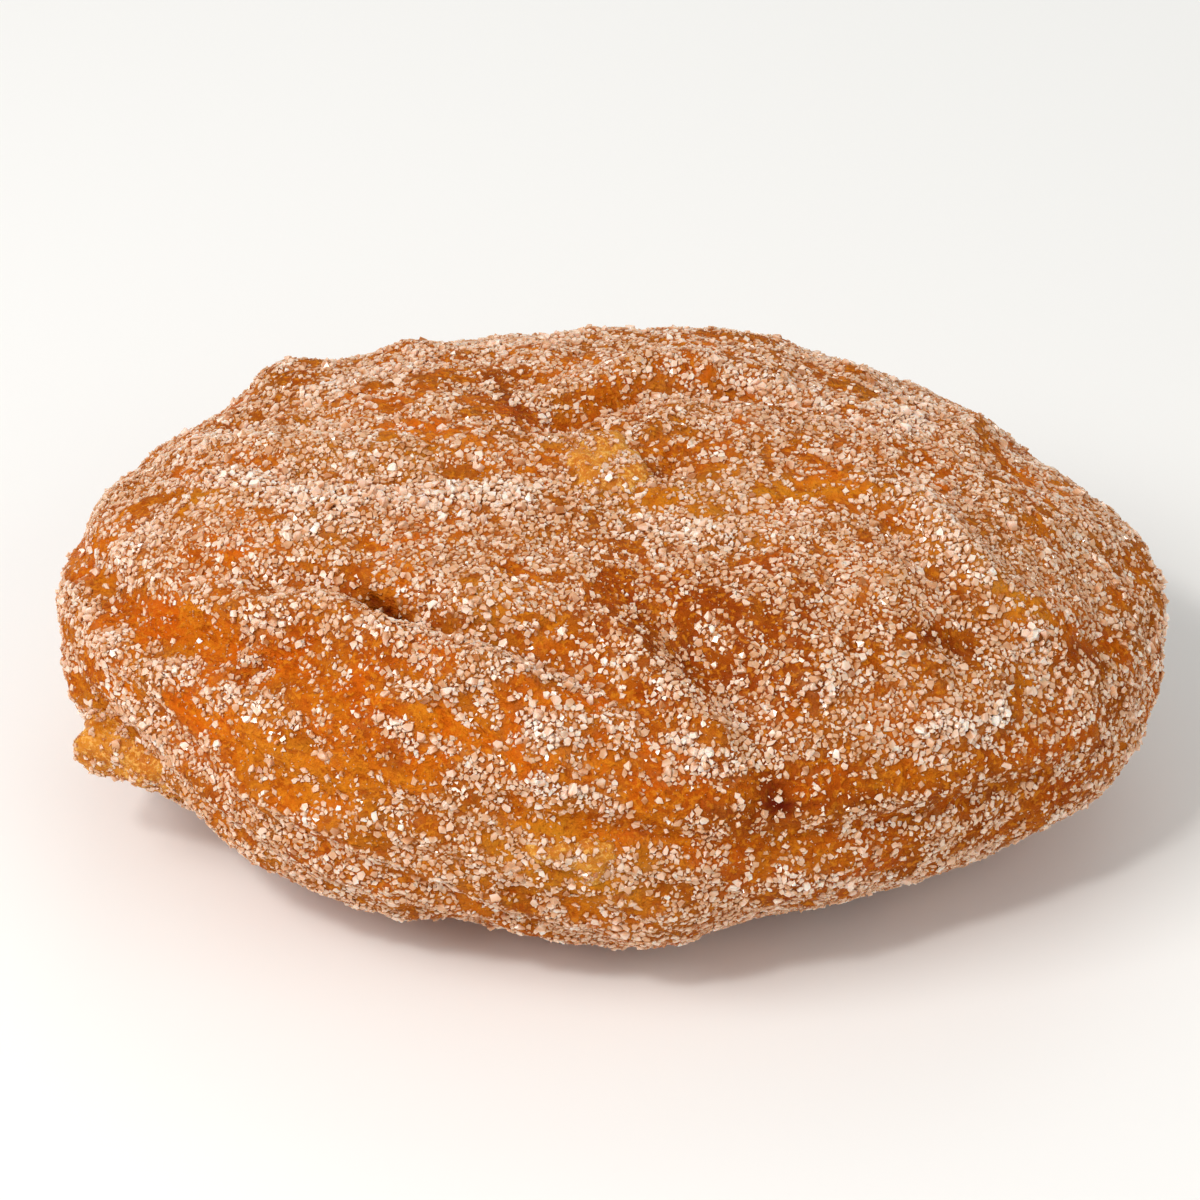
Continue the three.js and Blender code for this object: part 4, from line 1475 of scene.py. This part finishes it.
@dataclass
class SugarCoat:
    """The coat of sugar: every kind of grain, sown over the surface from the coarsest to the finest.

    Attributes:
        kinds: The kinds of grain.
        room: How far apart grains stand at the least, as a share of their mean length.
        jitter: How far a grain's corners are moved by chance, as a share of its sizes.
        width: The least and greatest width, as a share of the length.
        size_bias: The power that makes small grains commoner than large ones.
        tilt_spread: How far a tilt of 1 turns the grains.
        sink: How far a grain sits in the crust or off it at the most, as shares of its length.
        heap_height: How high the heaps stand.
        heap_bias: The power that makes the foot of a heap fuller than its top.
        heap_draw: How much likelier a heap is to be tried.
        clump_size: How large the clumps of grains are.
        clump_slope: How much the cover changes the chance that a grain stays.
        clump_gain: How much the clumps change it.
        clump_lift: How high the clumps stand.
        even_cover: The cover at which a grain is as likely to stay as not.
        clean: The cover below which clumps fade out.
        painted_top_light: How much whiter a grain's top is than its foot: painted light on the top and
            painted shade at the foot, whose amber also stands for the crust seen through the grain.
        tint_spread: How far the grains' tints differ by chance.
        corner_spread: How far the tints of a grain's corners differ by chance.
        heap_whiteness: How much whiter the grains of heaps are.
        clump_whiteness: How much whiter the grains of clumps are.
        seed: Where the chance numbers start.
    """

    kinds: tuple[GrainKind, ...] = (
        GrainKind(
            "chunk", sides=6, top=0.75, most=5000, density=0.8, heaped=0.8, stray=0.0,
            size=(0.62, 1.05), thickness=(0.45, 0.9), tilt=0.8, whiteness=0.36,
        ),
        GrainKind(
            "flake", sides=5, top=0.85, most=12400, density=3.0, heaped=0.0, stray=0.0,
            size=(0.56, 0.94), thickness=(0.25, 0.42), tilt=0.3, whiteness=0.32,
        ),
        GrainKind(
            "slab", sides=4, top=0.82, most=16600, density=6.0, heaped=0.0, stray=0.02,
            size=(0.48, 0.8), thickness=(0.28, 0.5), tilt=0.4, whiteness=0.32,
        ),
        GrainKind(
            "wedge", sides=3, top=0.8, most=24900, density=10.0, heaped=0.0, stray=0.05,
            size=(0.34, 0.6), thickness=(0.35, 0.6), tilt=0.5, whiteness=0.32,
        ),
        GrainKind(
            "speck", sides=3, top=0.0, most=22000, density=6.0, heaped=0.0, stray=0.3,
            size=(0.18, 0.34), thickness=(0.5, 0.9), tilt=0.8, whiteness=0.4,
        ),
    )
    room: float = 0.64
    jitter: float = 0.11
    width: tuple[float, float] = (0.6, 1.0)
    size_bias: float = 1.6
    tilt_spread: float = 0.5
    sink: tuple[float, float] = (-0.1, 0.08)
    heap_height: float = 0.45
    heap_bias: float = 1.5
    heap_draw: float = 3.0
    clump_size: float = 1.15
    clump_slope: float = 1.6
    clump_gain: float = 1.7
    clump_lift: float = 0.15
    even_cover: float = 0.5
    clean: float = 0.1
    painted_top_light: float = 0.6
    tint_spread: float = 0.2
    corner_spread: float = 0.22
    heap_whiteness: float = 0.55
    clump_whiteness: float = 0.4
    seed: int = 4

    def sow(self, surface: Surface) -> list[bpy.types.Object]:
        """Scatters and dresses every kind of grain.

        Args:
            surface: What the sugar sticks to.

        Returns:
            One piece for each kind.
        """
        rng = np.random.default_rng(self.seed)
        taken: Taken = {}
        crystal = SugarFinish().material()
        pieces = [self.sow_kind(kind, surface, rng, taken) for kind in self.kinds]
        for piece in pieces:
            tie(piece, crystal, "sugar")
        return pieces

    def draw(
        self, surface: Surface, rng: np.random.Generator, kind: GrainKind
    ) -> tuple[np.ndarray, np.ndarray, np.ndarray, np.ndarray]:
        """Draws places at random all over the surface, with more where the sugar lies in heaps.

        Args:
            surface: What the sugar sticks to.
            rng: The seeded source of numbers.
            kind: The kind of grain to draw for.

        Returns:
            The places, their normals, their cover and their heap.
        """
        corners = surface.points[surface.triangles]
        edges = np.cross(corners[:, 1] - corners[:, 0], corners[:, 2] - corners[:, 0])
        area = 0.5 * np.linalg.norm(edges, axis=1)
        heaps = self.heap_draw * surface.heap[surface.triangles].mean(1)
        weight = area * (1 + kind.heaped * (heaps - 1))
        count = round(kind.density * weight.sum())
        chosen = surface.triangles[np.searchsorted(np.cumsum(weight) / weight.sum(), rng.random(count))]
        a, b = rng.random(count), rng.random(count)
        over = a + b > 1
        a, b = np.where(over, 1 - a, a), np.where(over, 1 - b, b)
        shares = np.stack([1 - a - b, a, b], axis=1)[:, :, None]
        normals = (surface.normals[chosen] * shares).sum(1)
        normals /= np.linalg.norm(normals, axis=1)[:, None]
        return (
            (surface.points[chosen] * shares).sum(1),
            normals,
            (surface.cover[chosen] * shares[:, :, 0]).sum(1),
            (surface.heap[chosen] * shares[:, :, 0]).sum(1),
        )

    def room_for(self, place: np.ndarray, size: float, taken: Taken) -> bool:
        """Takes a place for a grain if no other is too near.

        Args:
            place: The grain's middle.
            size: Its length.
            taken: The places and sizes of the grains so far, by cell of a millimetre.

        Returns:
            True if the place was free and is now taken.
        """
        cell = tuple(int(c) for c in np.floor(place))
        for x in (-1, 0, 1):
            for y in (-1, 0, 1):
                for z in (-1, 0, 1):
                    for other, other_size in taken.get((cell[0] + x, cell[1] + y, cell[2] + z), ()):
                        gap = place - other
                        if gap @ gap < (self.room * (size + other_size) / 2) ** 2:
                            return False
        taken.setdefault(cell, []).append((place, size))
        return True

    def sow_kind(
        self, kind: GrainKind, surface: Surface, rng: np.random.Generator, taken: Taken
    ) -> bpy.types.Object:
        """Scatters one kind of grain.

        Args:
            kind: The kind.
            surface: What the sugar sticks to.
            rng: The seeded source of numbers.
            taken: The places that coarser grains have taken.

        Returns:
            The grains, joined in one piece.
        """
        places, normals, cover, heap = self.draw(surface, rng, kind)
        clump = unevenness(places, self.clump_size)
        chance = self.even_cover + self.clump_slope * (cover - self.even_cover) + self.clump_gain * clump
        chance = np.maximum(chance * np.clip(cover / self.clean, 0, 1), kind.stray)
        count = len(places)
        size = kind.size[0] + (kind.size[1] - kind.size[0]) * rng.random(count) ** self.size_bias
        lift = rng.uniform(*self.sink, count) * size
        lift += self.heap_height * heap * rng.random(count) ** self.heap_bias
        lift += self.clump_lift * np.maximum(clump, 0)
        places = places + normals * lift[:, None]
        wanted = np.flatnonzero(rng.random(count) < chance)
        free = [i for i in wanted if self.room_for(places[i], size[i], taken)]
        free = np.array(free[: kind.most])
        tint = kind.whiteness + rng.normal(0, self.tint_spread, len(free))
        tint = tint + self.heap_whiteness * heap[free] + self.clump_whiteness * clump[free]
        return self.join(kind, places[free], normals[free], size[free], tint, rng)

    def join(
        self,
        kind: GrainKind,
        places: np.ndarray,
        normals: np.ndarray,
        size: np.ndarray,
        tint: np.ndarray,
        rng: np.random.Generator,
    ) -> bpy.types.Object:
        """Builds the grains of one kind as one mesh.

        Args:
            kind: The kind.
            places: The grains' middles.
            normals: The crust's normals under them.
            size: Their lengths.
            tint: How white each is: 0 for clear, 0.5 for cream, 1 for white and 1.5 for frosted.
            rng: The seeded source of numbers.

        Returns:
            The piece.
        """
        corners, triangles = kind.template()
        count = len(places)
        up = normals + kind.tilt * rng.normal(0, self.tilt_spread, (count, 3))
        up /= np.linalg.norm(up, axis=1)[:, None]
        along = np.cross(up, rng.normal(0, 1, (count, 3)))
        along /= np.linalg.norm(along, axis=1)[:, None]
        across = np.cross(up, along)
        stretch = np.stack(
            [
                np.ones(count),
                rng.uniform(*self.width, count),
                rng.uniform(*kind.thickness, count),
            ],
            axis=1,
        )
        local = corners[None] + rng.normal(0, self.jitter, (count, len(corners), 3))
        local = local * (stretch * size[:, None])[:, None]
        basis = np.stack([along, across, up], axis=1)
        points = np.einsum("nki,nij->nkj", local, basis) + places[:, None]
        faces = triangles[None] + (np.arange(count) * len(corners))[:, None, None]
        mesh = bpy.data.meshes.new("sugar_" + kind.name)
        points[:, :, 2] = np.maximum(points[:, :, 2], 0)
        mesh.from_pydata((points.reshape(-1, 3) + BODY_OFFSET) * MM, [], faces.reshape(-1, 3))
        # Painted light and shade: each grain's top lighter, its foot darker and amber.
        shade = tint[:, None] + self.painted_top_light * corners[:, 2]
        shade = shade + rng.normal(0, self.corner_spread, local.shape[:2])
        write_attribute(mesh, "tint", shade.ravel())
        return add_piece("sugar_" + kind.name, mesh)


@dataclass(frozen=True)
class Lamp:
    """A square soft light that faces the fritter.

    Attributes:
        name: What it is called.
        at: Where it stands.
        size: Its side.
        power: Its power in watts.
        colour: Its colour.
    """

    name: str
    at: Point
    size: float
    power: float
    colour: Point

    def build(self) -> None:
        """Adds the light to the scene."""
        data = bpy.data.lights.new(self.name, "AREA")
        data.size = self.size * MM
        data.energy = self.power
        data.color = self.colour
        lamp = bpy.data.objects.new(self.name, data)
        lamp.location = Vector(self.at) * MM
        lamp.rotation_euler = (-lamp.location).to_track_quat("-Z", "Y").to_euler()
        bpy.context.scene.collection.objects.link(lamp)


@dataclass
class Studio:
    """A pale floor, soft light from above and the left, and the camera.

    Attributes:
        aim: The point that the camera looks at.
        eye: Where the camera stands.
        lens: The camera's focal length.
        sensor: The width of the camera's film.
        floor_size: The floor's side.
        ambient: The strength of the even light from all round.
        ambient_colour: Its colour.
        lamps: The lights.
    """

    aim: Point = (-0.71, 0.35, 18.52)
    eye: Point = (0.325, -379.86, 311.52)
    lens: float = 153.0
    sensor: float = 36.0
    floor_size: float = 3000.0
    ambient: float = 0.45
    ambient_colour: Colour = (1.0, 1.0, 1.0, 1.0)
    lamps: tuple[Lamp, ...] = (
        Lamp("key", at=(-360, -180, 440), size=300, power=1.85, colour=(1.0, 0.965, 0.945)),
        Lamp("spark", at=(-210, -260, 480), size=60, power=0.7, colour=(1.0, 0.98, 0.95)),
        Lamp("fill", at=(420, -300, 300), size=500, power=0.8, colour=(0.93, 1.0, 0.97)),
        Lamp("back", at=(80, 480, 360), size=420, power=0.5, colour=(0.93, 1.0, 0.97)),
    )

    def build(self) -> None:
        """Makes the floor, the lights and the camera."""
        self.floor()
        for lamp in self.lamps:
            lamp.build()
        world = bpy.data.worlds.new("studio")
        world.use_nodes = True
        background = world.node_tree.nodes["Background"]
        background.inputs["Color"].default_value = self.ambient_colour
        background.inputs["Strength"].default_value = self.ambient
        bpy.context.scene.world = world
        bpy.context.scene.view_settings.view_transform = "Standard"
        self.camera()

    def floor(self) -> None:
        """Makes the floor, level with the fritter's underside."""
        sheet = bmesh.new()
        bmesh.ops.create_grid(sheet, x_segments=1, y_segments=1, size=self.floor_size / 2 * MM)
        mesh = bpy.data.meshes.new("floor")
        sheet.to_mesh(mesh)
        sheet.free()
        mesh.materials.append(FloorFinish().material())
        add_piece("floor", mesh)

    def camera(self) -> None:
        """Adds the camera, above the table and in front."""
        data = bpy.data.cameras.new("camera")
        data.lens = self.lens
        data.sensor_width = self.sensor
        camera = bpy.data.objects.new("camera", data)
        camera.location = Vector(self.eye) * MM
        camera.rotation_euler = (Vector(self.aim) - Vector(self.eye)).to_track_quat("-Z", "Y").to_euler()
        bpy.context.scene.collection.objects.link(camera)
        bpy.context.scene.camera = camera


def main() -> None:
    """Builds the studio and the fritter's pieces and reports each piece."""
    logging.basicConfig(level=logging.INFO)
    Studio().build()
    crust, crust_surface = Dough().build()
    pieces = [crust]
    surfaces = [crust_surface]
    flesh = AppleFinish().material()
    for chunk in APPLE_CHUNKS:
        piece, surface = chunk.build(flesh)
        pieces.append(piece)
        surfaces.append(surface)
    pieces += SugarCoat().sow(Surface.joined(surfaces))
    for piece in pieces:
        log.info("%s: %d faces", piece.name, len(piece.data.polygons))


if __name__ == "__main__":
    main()
